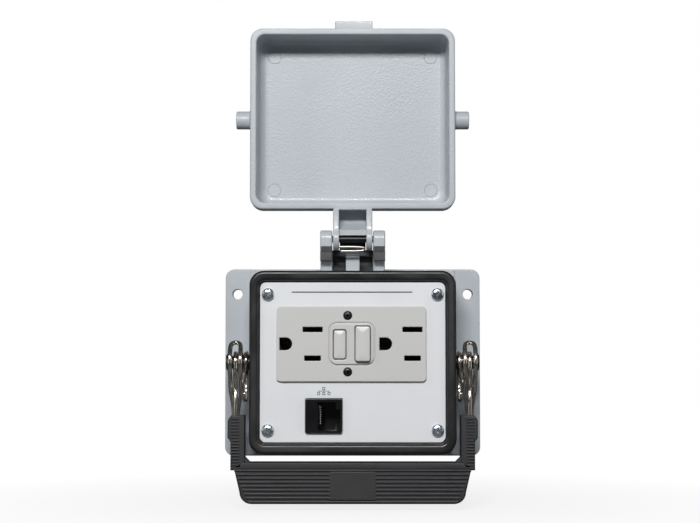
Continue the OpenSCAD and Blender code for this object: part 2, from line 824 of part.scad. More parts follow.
module reset_spring() {
    color("silver") wire(helix(reset_x, outlet_z, button_back + 0.3, carrier_front - 0.3,
                               coil_r, 5), coil_wire, 8);
}

// ---- network jack -------------------------------------------------------

module socket_outline() {
    translate([socket_x, socket_z]) square([socket_w, socket_h], center = true);
    translate([socket_x + socket_w / 2 + latch_w / 2 - 0.5, socket_z])
        square([latch_w + 1, latch_h], center = true);
}

// Channel that leads the eight contacts through the wall between the sockets
module contact_channel() {
    translate([socket_x - socket_w / 2 + 0.5, socket_z])
        square([1, 8 * contact_pitch + 0.4], center = true);
}

module jack_shell(front, socket_front) {
    difference() {
        slab(front, jack_half) translate([jack_x, jack_z]) square([jack_w, jack_h], center = true);
        slab(socket_front, socket_d + 1) socket_outline();
        slab(front - 1, jack_half + 2) contact_channel();
    }
}

module jack_body() {
    color([0.12, 0.12, 0.13]) jack_shell(jack_front, jack_front - 1);
}

module jack_rear() {
    color([0.16, 0.16, 0.17]) jack_shell(jack_mid, jack_back - socket_d);
}

module jack_contacts() {
    x = socket_x - socket_w / 2 + 0.5;
    lead = 3.5;
    finger = 8.5;
    color("gold") for (i = [0:7]) {
        z = socket_z + (i - 3.5) * contact_pitch;
        block(x - 0.2, x + 0.2, jack_front + lead, jack_back - lead, z - 0.2, z + 0.2);
        translate([x - 0.2, jack_front + lead, z - 0.2]) rotate([0, 0, -16])
            cube([0.4, finger, 0.4]);
        translate([x - 0.2, jack_back - lead, z - 0.2]) rotate([0, 0, 16]) translate([0, -finger, 0])
            cube([0.4, finger, 0.4]);
    }
}

module jack_clip() {
    color("dimgray") slab(plate_back, 2) translate([jack_x, jack_z]) difference() {
        rounded(jack_w + 4, jack_h + 3, 1);
        square([jack_w + 0.1, jack_h + 0.1], center = true);
    }
}

// ---- cover --------------------------------------------------------------

// Cup with rounded outer edges; depth d is counted from the rim
module cup(w, h, r, rim, d, edge, draft) {
    hull() {
        slab(rim, skin) translate([0, lid_z]) rounded(w, h, r, $fn = 32);
        for (a = [0, 30, 60, 90]) {
            inset = 2 * (edge * (1 - cos(a)) + draft);
            slab(rim + d - edge + edge * sin(a) - skin, skin) translate([0, lid_z])
                rounded(w - inset, h - inset, r, $fn = 32);
        }
    }
}

module arm_outline() {
    back = peg_y - 0.9;
    foot = lid_bottom - 0.5;
    translate([-hinge_y, hinge_z]) circle(cheek_r);
    polygon([
        [-hinge_y - cheek_r, hinge_z], [arm_front, hinge_z + 5], [arm_front, foot],
        [lid_rim, foot], [lid_rim, lid_bottom + 1], [back, lid_bottom + 1],
        [back, lid_bottom - 2], [-hinge_y + cheek_r, hinge_z]
    ]);
}

module lid() {
    tab_w = 16.8;
    tab_out = 2.6;
    tab_t = 3.5;
    front = arm_front - 3;
    bar_top = hinge_z + 4;
    bar_bottom = hinge_z + hinge_r + 0.1;
    pocket_top = lid_bottom - 0.7;
    back = peg_y - 3.5;
    color("lightsteelblue") difference() {
        union() {
            difference() {
                union() {
                    cup(lid_w, lid_h, lid_r, lid_rim, lid_d, lid_round, 0);
                    for (s = [-1, 1])
                        rod_x(s > 0 ? lid_w / 2 - 2 : -peg_span / 2,
                              s > 0 ? peg_span / 2 : -lid_w / 2 + 2, peg_y, lid_z, peg_r);
                    block(-tab_w / 2 + 0.5, tab_w / 2 + 0.5, lid_rim, lid_rim + tab_t,
                          lid_z + lid_h / 2 - 1, lid_z + lid_h / 2 + tab_out);
                }
                cup(lid_w - 2 * lid_wall, lid_h - 2 * lid_wall, lid_r - 2, lid_rim - 1,
                    lid_d - lid_floor + 1, lid_inner_round, 0.6);
            }
            side_slab(-arm_half, 2 * arm_half) arm_outline();
        }
        side_slab(-window_half, 2 * window_half) polygon([
            [front, bar_top], [-hinge_y - 0.3, bar_top], [back, bar_top + 4.1],
            [back, pocket_top], [front, pocket_top]
        ]);
        block(-window_half, window_half, -hinge_y - 8, -hinge_y + 8, hinge_z - 8, bar_bottom);
        rod_x(-arm_half - 1, arm_half + 1, -hinge_y, hinge_z, hinge_r + hinge_play);
        cup(lid_w - 2 * lid_wall, lid_h - 2 * lid_wall, lid_r - 2, lid_rim - 1,
            lid_d - lid_floor + 1, lid_inner_round, 0.6);
        for (s = [-1, 1])
            rod_x(s > 0 ? window_half - 1 : -window_half - 1, s > 0 ? window_half + 1 : 1 - window_half,
                  spring_bar[0], spring_bar[1], spring_r);
    }
}

module lid_spring() {
    far = window_half + 0.9;
    color("silver") wire([
        [-far, spring_bar[0], spring_bar[1]], [window_half - 1.7, spring_bar[0], spring_bar[1]],
        [window_half - 0.7, (spring_bar[0] + spring_loop[0]) / 2,
         (spring_bar[1] + spring_loop[1]) / 2],
        [window_half - 1.5, spring_loop[0], spring_loop[1]],
        [0.8 - window_half, spring_loop[0], spring_loop[1]]
    ], spring_r - 0.02, 12);
}

module hinge_pin() {
    color("slategray") rod_x(-ear_out + 0.4, ear_out - 0.4, -hinge_y, hinge_z, hinge_r);
}

// ---- lever --------------------------------------------------------------

module pivot_pin(side) {
    color("silver") mirror([side > 0 ? 0 : 1, 0, 0]) {
        rod_x(cavity_w / 2 - pad_l + 0.2, shell_w / 2 + eps, -pivot_y, 0, spigot_r);
        rod_x(shell_w / 2, pin_end, -pivot_y, 0, pivot_r);
        rod_x(pin_end - eps, pin_end + 0.8, -pivot_y, 0, pivot_r + 0.6);
    }
}

module pivot_pin_left() {
    pivot_pin(-1);
}

module pivot_pin_right() {
    pivot_pin(1);
}

module lever_wire_left() {
    color("silver") mirror([1, 0, 0]) {
        wire(lever_path(), wire_r);
        wire(bow_path(), wire_r);
    }
}

module lever_wire_right() {
    color("silver") {
        wire(lever_path(), wire_r);
        wire(bow_path(), wire_r);
    }
}

module lever_grip() {
    front = -pivot_y - grip_t / 2;
    low = reach + grip_h;
    color([0.2, 0.2, 0.22]) difference() {
        union() {
            for (s = [-1, 1]) mirror([s > 0 ? 0 : 1, 0, 0]) {
                block(grip_in, grip_out, front, front + grip_t, -reach - 3.5, -arm_top);
                slab(front, grip_t) polygon([
                    [grip_in + 1, -reach + 3], [grip_in - 2, -reach + eps], [grip_in - 2, -reach - 1],
                    [grip_in + 1, -reach - 1]
                ]);
                slab(front, grip_t) polygon([
                    [grip_out - 1, -arm_top - 1], [grip_out + 1.4, -arm_top - 2.2],
                    [grip_out + 1.4, -arm_top - 10], [grip_out - 1, -arm_top - 11.5]
                ]);
            }
            slab(front, grip_t) polygon([
                [-grip_out + 1.8, -reach], [grip_out - 1.8, -reach], [grip_out - 4.8, -low + 4],
                [grip_out - 6, -low + 1.2], [grip_out - 8.8, -low], [-grip_out + 8.8, -low],
                [-grip_out + 6, -low + 1.2], [-grip_out + 4.8, -low + 4]
            ]);
        }
        for (s = [-1, 1], hole = [[0, leg_f], [bow_in[0], bow_f[0]], [bow_in[1], bow_f[1]]])
            rod_z(s * (lever_leg + hole[0]), -pivot_y - hole[1], -wire_end - 0.2, -arm_top + 1,
                  wire_r + 0.05);
        // Step behind the bar's front lip: the passage between the bar and the housing
        block(-grip_in + 2.6, grip_in - 2.6, min(-pivot_y - 5.6, front + grip_t - 4),
              front + grip_t + 1, -reach - step_h, -reach + 1);
    }
}

housing();
panel_gasket();
rim_gasket();
faceplate();
faceplate_screws();
outlet_face();
outlet_strap();
outlet_case();
outlet_screws();
case_screws();
contact_carrier();
neutral_contacts();
hot_contacts();
ground_contacts();
neutral_terminals();
hot_terminals();
ground_terminal();
circuit_board();
sense_coils();
trip_solenoid();
solenoid_frame();
solenoid_plunger();
plunger_spring();
test_button();
test_spring();
reset_button();
reset_stem();
reset_spring();
jack_body();
jack_rear();
jack_contacts();
jack_clip();
pivot_pin_left();
pivot_pin_right();
lever_wire_left();
lever_wire_right();
lever_grip();
hinge_pin();
lid();
lid_spring();
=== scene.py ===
"""Panel interface port: a die-cast housing with a turned ground-fault outlet and a network jack,
a hinged cover that stands open, and a wire lever with a ribbed grip. Everything is in metres, in
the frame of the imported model. Pieces that stand for a CAD solid lie where it lies; the printing on
the faceplate, the hinge's root and pad, the cover's marks and the ribs are only here."""
import json
import math

import bmesh
import bpy
from mathutils import Matrix, Vector
from mathutils.geometry import tessellate_polygon


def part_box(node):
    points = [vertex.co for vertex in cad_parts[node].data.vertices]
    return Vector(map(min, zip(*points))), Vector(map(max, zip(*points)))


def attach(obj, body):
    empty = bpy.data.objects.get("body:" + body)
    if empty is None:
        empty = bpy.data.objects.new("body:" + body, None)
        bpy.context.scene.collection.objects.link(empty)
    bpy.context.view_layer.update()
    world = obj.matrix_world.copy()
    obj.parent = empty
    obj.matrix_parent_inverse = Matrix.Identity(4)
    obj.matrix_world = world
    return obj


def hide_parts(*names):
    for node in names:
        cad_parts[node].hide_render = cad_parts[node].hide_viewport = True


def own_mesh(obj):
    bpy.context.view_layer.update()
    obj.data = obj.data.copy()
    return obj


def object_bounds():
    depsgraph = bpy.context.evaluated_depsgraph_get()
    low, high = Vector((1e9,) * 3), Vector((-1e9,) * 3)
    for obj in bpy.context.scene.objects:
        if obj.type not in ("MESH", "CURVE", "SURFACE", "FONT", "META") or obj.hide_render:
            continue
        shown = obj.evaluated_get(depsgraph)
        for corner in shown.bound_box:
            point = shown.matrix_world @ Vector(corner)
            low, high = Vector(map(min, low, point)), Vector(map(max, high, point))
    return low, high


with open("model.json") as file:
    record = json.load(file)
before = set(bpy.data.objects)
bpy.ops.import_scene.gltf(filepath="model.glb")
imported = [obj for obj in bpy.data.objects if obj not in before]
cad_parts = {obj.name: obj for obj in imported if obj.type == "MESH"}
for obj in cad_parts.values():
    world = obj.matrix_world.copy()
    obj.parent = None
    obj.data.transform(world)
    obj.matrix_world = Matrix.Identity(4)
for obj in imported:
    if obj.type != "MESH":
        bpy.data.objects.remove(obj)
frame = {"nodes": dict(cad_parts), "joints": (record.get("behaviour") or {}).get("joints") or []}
cad_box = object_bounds()
nodes = frame["nodes"]
joints = {joint["name"]: joint for joint in frame["joints"]}
scene = bpy.context.scene
mm = 0.001


# ---- Studio --------------------------------------------------------------------------------
# A pale floor below the port, a large soft box above it, two fills and a pale sky. The camera
# stands in front at the height of the housing and looks slightly up at the open cover.

def shade(name, colour, roughness, metallic=0.0, coat=0.0, specular=0.5):
    """Material with one Principled BSDF; values that are the same all over sit on its sockets."""
    material = bpy.data.materials.new(name)
    material.use_nodes = True
    shader = material.node_tree.nodes["Principled BSDF"]
    shader.inputs["Base Color"].default_value = (*colour, 1)
    shader.inputs["Roughness"].default_value = roughness
    shader.inputs["Metallic"].default_value = metallic
    shader.inputs["Coat Weight"].default_value = coat
    shader.inputs["Specular IOR Level"].default_value = specular
    return material


def added(tree, kind, values=None, **settings):
    """New node with its settings, and the values of the sockets that nothing is linked to."""
    made = tree.nodes.new(kind)
    for name, value in settings.items():
        setattr(made, name, value)
    for socket, value in (values or {}).items():
        made.inputs[socket].default_value = value
    return made


def soft_box(name, place, target, size, power, colour=(1, 1, 1)):
    lamp = bpy.data.lights.new(name, "AREA")
    lamp.shape = "RECTANGLE"
    lamp.size, lamp.size_y = size
    lamp.energy = power
    lamp.color = colour
    holder = bpy.data.objects.new(name, lamp)
    holder.location = place
    holder.rotation_euler = (Vector(target) - Vector(place)).to_track_quat("-Z", "Y").to_euler()
    scene.collection.objects.link(holder)


low, high = cad_box
floor_z = low.z - 3 * mm
floor_size = 6.0
backdrop_white, sky_light = 1.0, 0.07
floor_mesh = bpy.data.meshes.new("studio_floor")
floor_mesh.from_pydata([(sx * floor_size, sy * floor_size, floor_z) for sx, sy in
                        ((-1, -1), (1, -1), (1, 1), (-1, 1))], [], [(0, 1, 2, 3)])
studio_floor = bpy.data.objects.new("studio_floor", floor_mesh)
scene.collection.objects.link(studio_floor)

# The floor is matt paint below the port and fades to the sky's white further out
floor_paint = shade("floor_paint", (0.86, 0.87, 0.88), 0.7)
tree = floor_paint.node_tree
place = tree.nodes.new("ShaderNodeTexCoord")
reach = added(tree, "ShaderNodeVectorMath", operation="LENGTH")
fade = added(tree, "ShaderNodeMapRange", {"From Min": 0.05, "From Max": 0.25, "To Min": 0.8})
glow = added(tree, "ShaderNodeEmission", {"Color": (1, 1, 1, 1)})
ray = tree.nodes.new("ShaderNodeLightPath")
level = added(tree, "ShaderNodeMapRange", {"To Min": sky_light, "To Max": backdrop_white})
tree.links.new(ray.outputs["Is Camera Ray"], level.inputs["Value"])
tree.links.new(level.outputs["Result"], glow.inputs["Strength"])
blend = tree.nodes.new("ShaderNodeMixShader")
tree.links.new(place.outputs["Object"], reach.inputs[0])
tree.links.new(reach.outputs["Value"], fade.inputs["Value"])
tree.links.new(fade.outputs["Result"], blend.inputs["Fac"])
tree.links.new(tree.nodes["Principled BSDF"].outputs["BSDF"], blend.inputs[1])
tree.links.new(glow.outputs["Emission"], blend.inputs[2])
tree.links.new(blend.outputs["Shader"], tree.nodes["Material Output"].inputs["Surface"])
floor_mesh.materials.append(floor_paint)

# The sky looks white to the camera and lights the port more weakly
sky = bpy.data.worlds.new("studio_sky")
sky.use_nodes = True
tree = sky.node_tree
backdrop = tree.nodes["Background"]
backdrop.inputs["Color"].default_value = (1, 1, 1, 1)
ray = tree.nodes.new("ShaderNodeLightPath")
level = added(tree, "ShaderNodeMapRange", {"To Min": sky_light, "To Max": backdrop_white})
tree.links.new(ray.outputs["Is Camera Ray"], level.inputs["Value"])
tree.links.new(level.outputs["Result"], backdrop.inputs["Strength"])
scene.world = sky
scene.view_settings.view_transform = "Standard"

soft_box("key_box", (-0.1, -1.0, 0.56), (0, 0, 0.04), (0.5, 0.16), 11.5)
soft_box("left_fill", (-0.9, -0.5, 0.15), (0, 0, 0.04), (0.2, 0.9), 1.4)
soft_box("right_fill", (0.9, -0.45, 0.15), (0, 0, 0.04), (0.2, 0.9), 1.2)


camera_data = bpy.data.cameras.new("camera")
camera_data.lens = 87.25
camera_data.sensor_width = 36
camera = bpy.data.objects.new("camera", camera_data)
camera.location = (-1.2 * mm, -780 * mm, 0)
camera.rotation_euler = (math.radians(90 + 3.4), 0, 0)
scene.collection.objects.link(camera)
scene.camera = camera


# ---- Housing -------------------------------------------------------------------------------
# One aluminium die casting: flange, square shell, ledge with four screw bosses, and two hinge
# ears on the shell's top wall. Light grey powder paint with a fine orange peel.

def rounded(width, height, radius, x=0.0, z=0.0, steps=8):
    """Outline of a rectangle with round corners, counter-clockwise, as (x, z) points."""
    outline = []
    for corner, (sx, sz) in enumerate(((1, 1), (-1, 1), (-1, -1), (1, -1))):
        for i in range(steps + 1):
            a = math.radians(90 * (corner + i / steps))
            outline.append((x + sx * (width / 2 - radius) + radius * math.cos(a),
                            z + sz * (height / 2 - radius) + radius * math.sin(a)))
    return outline


def circle(radius, x=0.0, z=0.0, steps=28):
    return [(x + radius * math.cos(2 * math.pi * i / steps),
             z + radius * math.sin(2 * math.pi * i / steps)) for i in range(steps)]


def inset(outline, distance):
    """The outline moved sideways into the material, which lies to its left."""
    moved = []
    for i, point in enumerate(outline):
        before = Vector(point) - Vector(outline[i - 1])
        after = Vector(outline[(i + 1) % len(outline)]) - Vector(point)
        a = Vector((-before.y, before.x)).normalized()
        b = Vector((-after.y, after.x)).normalized()
        moved.append(Vector(point) + (a + b) * (distance / max(1 + a.dot(b), 0.3)))
    return moved


def lift(point, level, axis):
    """An outline's point at a level along the axis that the sheet lies across."""
    u, v = point
    return {"x": (level, u, v), "y": (u, level, v), "z": (u, v, level)}[axis]


def sheet(bm, outlines, front, back, edge, axis="y", steps=2):
    """Flat part between two levels, with every edge rounded; the first outline is the outside
    and the rest are holes."""
    edge = min(edge, (back - front) / 2.01)
    stations = []
    for i in range(steps + 1):
        a = math.radians(90 * i / steps)
        stations.append((edge * (1 - math.sin(a)), front + edge * (1 - math.cos(a))))
    stations += [(sink, front + back - level) for sink, level in reversed(stations)]
    first, last = [], []
    flat_first, flat_last = [], []
    for number, outline in enumerate(outlines):
        area = sum(outline[i - 1][0] * p[1] - p[0] * outline[i - 1][1]
                   for i, p in enumerate(outline))
        if (area > 0) == (number > 0):
            outline = outline[::-1]
        rings = [[bm.verts.new(lift(p, level, axis)) for p in inset(outline, sink)]
                 for sink, level in stations]
        for near, far in zip(rings, rings[1:]):
            for i in range(len(near)):
                bm.faces.new((near[i - 1], near[i], far[i], far[i - 1]))
        first += rings[0]
        last += rings[-1]
        flat_first.append([Vector((*p, 0)) for p in inset(outline, stations[0][0])])
        flat_last.append([Vector((*p, 0)) for p in inset(outline, stations[-1][0])])
    for verts, flat in ((first, flat_first), (last, flat_last)):
        for corners in tessellate_polygon(flat):
            bm.faces.new([verts[i] for i in corners])


def loft(bm, rings, closed=False):
    """Skin over rings of points, one after another; closed joins the last to the first, and
    otherwise each end gets a cap."""
    made = [[bm.verts.new(p) for p in ring] for ring in rings]
    for near, far in zip(made, made[1:] + made[:1] if closed else made[1:]):
        for i in range(len(near)):
            bm.faces.new((near[i - 1], near[i], far[i], far[i - 1]))
    if not closed:
        bm.faces.new(made[0])
        bm.faces.new(made[-1][::-1])


def turned(bm, profile, centre, axis, steps=32):
    """Turned part: profile gives radius and distance along the axis from the centre, and both
    of its ends are closed."""
    rings = []
    for radius, along in profile:
        ring = circle(max(radius, 0.02 * mm), steps=steps)
        shift = {"x": (along, 0, 0), "y": (0, along, 0), "z": (0, 0, along)}[axis]
        rings.append([Vector(lift(p, 0, axis)) + Vector(shift) + Vector(centre) for p in ring])
    loft(bm, rings)


def block(bm, x, y, z, edge):
    """Solid block between the given limits, with rounded edges all round its front and back."""
    outline = [(x[0], z[0]), (x[1], z[0]), (x[1], z[1]), (x[0], z[1])]
    sheet(bm, [outline], y[0], y[1], edge)


def piece(name, bm, material, body, stands_for=(), sharp=38):
    """Finishes a mesh: normals outward, smooth faces with crisp edges, material, body."""
    bmesh.ops.recalc_face_normals(bm, faces=bm.faces)
    mesh = bpy.data.meshes.new(name)
    bm.to_mesh(mesh)
    bm.free()
    return settle(name, mesh, material, body, stands_for, sharp)


def settle(name, mesh, material, body, stands_for=(), sharp=38):
    mesh.polygons.foreach_set("use_smooth", [True] * len(mesh.polygons))
    mesh.set_sharp_from_angle(angle=math.radians(sharp))
    mesh.materials.clear()
    mesh.materials.append(material)
    made = bpy.data.objects.new(name, mesh)
    scene.collection.objects.link(made)
    even = made.modifiers.new("face_weight", "WEIGHTED_NORMAL")
    even.keep_sharp = True
    even.weight = 80
    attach(made, body)
    if stands_for:
        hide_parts(*stands_for)
    return made


def grain_group():
    """Fine surface grain: height for a Bump node and a mask that mottles the colour."""
    group = bpy.data.node_groups.new("surface_grain", "ShaderNodeTree")
    for name, value in (("Grain", 1500.0), ("Waves", 60.0), ("Stretch", 1.0)):
        socket = group.interface.new_socket(name, in_out="INPUT", socket_type="NodeSocketFloat")
        socket.default_value = value
    group.interface.new_socket("Height", in_out="OUTPUT", socket_type="NodeSocketFloat")
    group.interface.new_socket("Mottle", in_out="OUTPUT", socket_type="NodeSocketFloat")
    add = group.nodes.new
    inlet, outlet = add("NodeGroupInput"), add("NodeGroupOutput")
    place, squeeze, shape = (add("ShaderNodeTexCoord"), add("ShaderNodeVectorMath"),
                             add("ShaderNodeCombineXYZ"))
    squeeze.operation = "MULTIPLY"
    shape.inputs["Y"].default_value = 1
    shape.inputs["Z"].default_value = 1
    fine, broad = add("ShaderNodeTexNoise"), add("ShaderNodeTexNoise")
    fine.inputs["Detail"].default_value = 3
    broad.inputs["Detail"].default_value = 5
    join = group.links.new
    join(place.outputs["Object"], squeeze.inputs[0])
    join(inlet.outputs["Stretch"], shape.inputs["X"])
    join(shape.outputs["Vector"], squeeze.inputs[1])
    join(squeeze.outputs["Vector"], fine.inputs["Vector"])
    join(place.outputs["Object"], broad.inputs["Vector"])
    join(inlet.outputs["Grain"], fine.inputs["Scale"])
    join(inlet.outputs["Waves"], broad.inputs["Scale"])
    join(fine.outputs["Fac"], outlet.inputs["Height"])
    join(broad.outputs["Fac"], outlet.inputs["Mottle"])
    return group


def crevice_shade_group():
    """Mask of painted shade that falls from 1 in the open to 0 deep inside slots and cases."""
    group = bpy.data.node_groups.new("crevice_shade", "ShaderNodeTree")
    socket = group.interface.new_socket("Reach", in_out="INPUT", socket_type="NodeSocketFloat")
    socket.default_value = 8 * mm
    group.interface.new_socket("Open", in_out="OUTPUT", socket_type="NodeSocketFloat")
    inlet, outlet = group.nodes.new("NodeGroupInput"), group.nodes.new("NodeGroupOutput")
    shadow = group.nodes.new("ShaderNodeAmbientOcclusion")
    steep = group.nodes.new("ShaderNodeMath")
    steep.operation = "POWER"
    steep.inputs[1].default_value = 2.2
    group.links.new(inlet.outputs["Reach"], shadow.inputs["Distance"])
    group.links.new(shadow.outputs["AO"], steep.inputs[0])
    group.links.new(steep.outputs["Value"], outlet.inputs["Open"])
    return group


surface_grain = grain_group()
crevice_shade = crevice_shade_group()


def grained(name, colour, roughness, grain, depth, mottle=0.06, uneven=0.08, stretch=1.0,
            waves=60.0, deep=0.0, **more):
    """Finish with surface grain: bump of the given depth, mottled colour, uneven gloss; deep
    paints shade into the colour, darkening it where the open air is further away than that."""
    material = shade(name, colour, roughness, **more)
    tree = material.node_tree
    shader = tree.nodes["Principled BSDF"]
    surface = tree.nodes.new("ShaderNodeGroup")
    surface.node_tree = surface_grain
    surface.inputs["Grain"].default_value = grain
    surface.inputs["Waves"].default_value = waves
    surface.inputs["Stretch"].default_value = stretch
    bump = added(tree, "ShaderNodeBump", {"Distance": depth, "Strength": 1.0})
    tree.links.new(surface.outputs["Height"], bump.inputs["Height"])
    tree.links.new(bump.outputs["Normal"], shader.inputs["Normal"])
    tint = added(tree, "ShaderNodeMapRange", {"From Min": 0.3, "From Max": 0.7,
                 "To Min": 1 - mottle, "To Max": 1 + mottle})
    tree.links.new(surface.outputs["Mottle"], tint.inputs["Value"])
    scaled = added(tree, "ShaderNodeVectorMath", {0: colour}, operation="SCALE")
    tree.links.new(tint.outputs["Result"], scaled.inputs["Scale"])
    # Painted shade: with deep, the colour is darkened where the occlusion mask falls
    if deep:
        hollow = added(tree, "ShaderNodeGroup", {"Reach": deep}, node_tree=crevice_shade)
        dimmed = added(tree, "ShaderNodeMath", operation="MULTIPLY")
        tree.links.new(tint.outputs["Result"], dimmed.inputs[0])
        tree.links.new(hollow.outputs["Open"], dimmed.inputs[1])
        tree.links.new(dimmed.outputs["Value"], scaled.inputs["Scale"])
    tree.links.new(scaled.outputs["Vector"], shader.inputs["Base Color"])
    gloss = added(tree, "ShaderNodeMapRange", {"From Min": 0.3, "From Max": 0.7,
                  "To Min": max(roughness - uneven, 0.02), "To Max": roughness + uneven})
    tree.links.new(surface.outputs["Mottle"], gloss.inputs["Value"])
    tree.links.new(gloss.outputs["Result"], shader.inputs["Roughness"])
    return material


# Near-black skin of painted shade for the hinge's root, which lies in shade below the ears
painted_shade_skin = grained("painted_shade_skin", (0.055, 0.056, 0.06), 0.5, grain=1500, depth=0.08 * mm,
                    mottle=0.2, uneven=0.1)
cast_paint = grained("cast_paint", (0.44, 0.475, 0.505), 0.42, grain=1100, depth=0.10 * mm,
                     mottle=0.03, coat=0.15)

plate_low, plate_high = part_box("faceplate")
seal_low, seal_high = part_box("rim_gasket")
hinge = Vector(joints["cover_hinge"]["pos_m"])
pivot = Vector(joints["lever_swing"]["pos_m"])
panel_seal_low, panel_seal_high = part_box("panel_gasket")

shell_w, shell_h, shell_r = 91 * mm, 80.6 * mm, 6.3 * mm
flange_w, flange_h = 116 * mm, 84.8 * mm
flange_back = panel_seal_low.y
flange_front = flange_back - 4 * mm
rim_level = plate_high.y - 1 * mm
cavity_w, cavity_h = shell_w - 8 * mm, shell_h - 8 * mm
seat_w, seat_h = shell_w - 8.4 * mm, shell_h - 9.4 * mm
throat_w, throat_h = seat_w - 4.6 * mm, seat_h - 4.6 * mm
bolt_places = [(sx * 52.5 * mm, sz * 31 * mm) for sx in (-1, 1) for sz in (-1, 1)]
screw_places = [(sx * 37.45 * mm, sz * 30 * mm) for sx in (-1, 1) for sz in (-1, 1)]
draft = 0.5 * mm

casting = bmesh.new()
sheet(casting, [rounded(flange_w, flange_h, 4 * mm), rounded(cavity_w, cavity_h, 3 * mm)]
      + [circle(2.25 * mm, *p) for p in bolt_places], flange_front, flange_back, 0.5 * mm)


def shell_ring(grow, level, radius=shell_r, width=shell_w, height=shell_h):
    outline = rounded(width + 2 * grow, height + 2 * grow, radius)
    return [(x, level, z) for x, z in outline]


# Shell wall, with draft outside, a small foot round at the flange and a step for the faceplate
outside = [shell_ring(draft + 1.2 * mm, flange_front + 0.3 * mm),
           shell_ring(draft + 0.45 * mm, flange_front - 0.4 * mm),
           shell_ring(draft, flange_front - 1.3 * mm),
           shell_ring(0, rim_level + 0.4 * mm), shell_ring(-0.12 * mm, rim_level + 0.12 * mm),
           shell_ring(-0.4 * mm, rim_level)]
inside = [shell_ring(0, rim_level, 2.7 * mm, seat_w, seat_h),
          shell_ring(0, plate_high.y, 2.7 * mm, seat_w, seat_h),
          shell_ring(0, plate_high.y, 2 * mm, throat_w, throat_h),
          shell_ring(0, plate_high.y + 3.5 * mm, 2 * mm, throat_w, throat_h),
          shell_ring(0, plate_high.y + 3.5 * mm, 3 * mm, cavity_w, cavity_h),
          shell_ring(0, flange_front + 0.3 * mm, 3 * mm, cavity_w, cavity_h)]
loft(casting, outside + inside, closed=True)

# Low ribs that run from the shell down the flange on both sides
for side in (-1, 1):
    block(casting, sorted((side * 44.2 * mm, side * 46.6 * mm)),
          (flange_front - 0.9 * mm, flange_front + 1 * mm),
          (-flange_h / 2 + 0.6 * mm, flange_h / 2 - 0.6 * mm), 0.4 * mm)

for x, z in screw_places:
    out_x, out_z = math.copysign(4.3 * mm, x), math.copysign(5.8 * mm, z)
    sheet(casting, [circle(3.75 * mm, x, z), circle(1.55 * mm, x, z)],
          plate_high.y, plate_high.y + 12 * mm, 0.3 * mm)
    block(casting, sorted((x + 0.45 * out_x, x + out_x)),
          (plate_high.y + 0.2 * mm, plate_high.y + 11.8 * mm),
          sorted((z - 0.3 * out_z, z + out_z)), 0.3 * mm)
    block(casting, sorted((x - 0.4 * out_x, x + out_x)),
          (plate_high.y + 0.2 * mm, plate_high.y + 11.8 * mm),
          sorted((z + 0.4 * out_z, z + out_z)), 0.3 * mm)

# Hinge ears: round heads about the hinge axis on necks that lean back to the shell
shell_top = shell_h / 2
ear_r = 3.9 * mm
ear_in, ear_out = 9.05 * mm, 14.4 * mm
head = [(hinge.y - ear_r * math.cos(a), hinge.z + ear_r * math.sin(a))
        for a in (math.radians(180 - 10 * i) for i in range(19))]
neck = [(hinge.y - ear_r, hinge.z - 3.3 * mm), (hinge.y - ear_r + 0.5 * mm, hinge.z - 3.7 * mm),
        (hinge.y + 4 * mm, hinge.z - 7.7 * mm), (hinge.y + 6 * mm, shell_top - 0.5 * mm),
        (hinge.y + 18 * mm, shell_top - 0.5 * mm)]
ear = [*head, *neck]
for side in (-1, 1):
    near, far = sorted((side * ear_in, side * ear_out))
    sheet(casting, [ear], near, far, 0.7 * mm, axis="x", steps=3)
piece("cast_housing", casting, cast_paint, "housing", ["housing"])

# The hinge's root is in deep shade. Its near-black skin is painted shade for that, and its true finish
# is unknown.
bracket_rear = hinge.y + 17 * mm
root = bmesh.new()
block(root, (-13.2 * mm, 13.2 * mm), (hinge.y + 13 * mm, bracket_rear),
      (shell_top - 1 * mm, hinge.z - 4.3 * mm), 0.6 * mm)
block(root, (-13.2 * mm, 13.2 * mm), (hinge.y + 7.6 * mm, bracket_rear - 1 * mm),
      (hinge.z - 7.2 * mm, hinge.z - 4.35 * mm), 0.6 * mm)
for side in (-1, 1):
    near, far = sorted((side * (ear_in + 0.25 * mm), side * (ear_out + 0.06 * mm)))
    block(root, (near, far), (hinge.y + 0.4 * mm, hinge.y + 12 * mm),
          (hinge.z - 9.5 * mm, hinge.z - 4.9 * mm), 0.4 * mm)
piece("hinge_root", root, painted_shade_skin, "housing")
foot = bmesh.new()
block(foot, (-3.1 * mm, 3.1 * mm), (hinge.y + 4 * mm, hinge.y + 14 * mm),
      (shell_top - 1 * mm, hinge.z - 6.3 * mm), 0.5 * mm)
piece("hinge_middle_rib", foot, cast_paint, "housing")


# ---- Gaskets -------------------------------------------------------------------------------
# Black rubber. The rim gasket is a moulded ring with a rounded crown that the cover's rim lands
# on, and the flange gasket is die-cut from flat sheet.

rubber = grained("rubber", (0.010, 0.010, 0.011), 0.38, grain=2600, depth=0.03 * mm,
                 mottle=0.25, uneven=0.1)


def gasket_ring(across, level):
    """Ring at a share across the gasket, from its outer edge (0) to its inner edge (1)."""
    width = seal_high.x - seal_low.x
    height = seal_high.z - seal_low.z
    outline = rounded(width - across * 9.1 * mm, height - across * 10.1 * mm,
                      (6.5 - 3.8 * across) * mm, steps=12)
    return [(x, level, z) for x, z in outline]


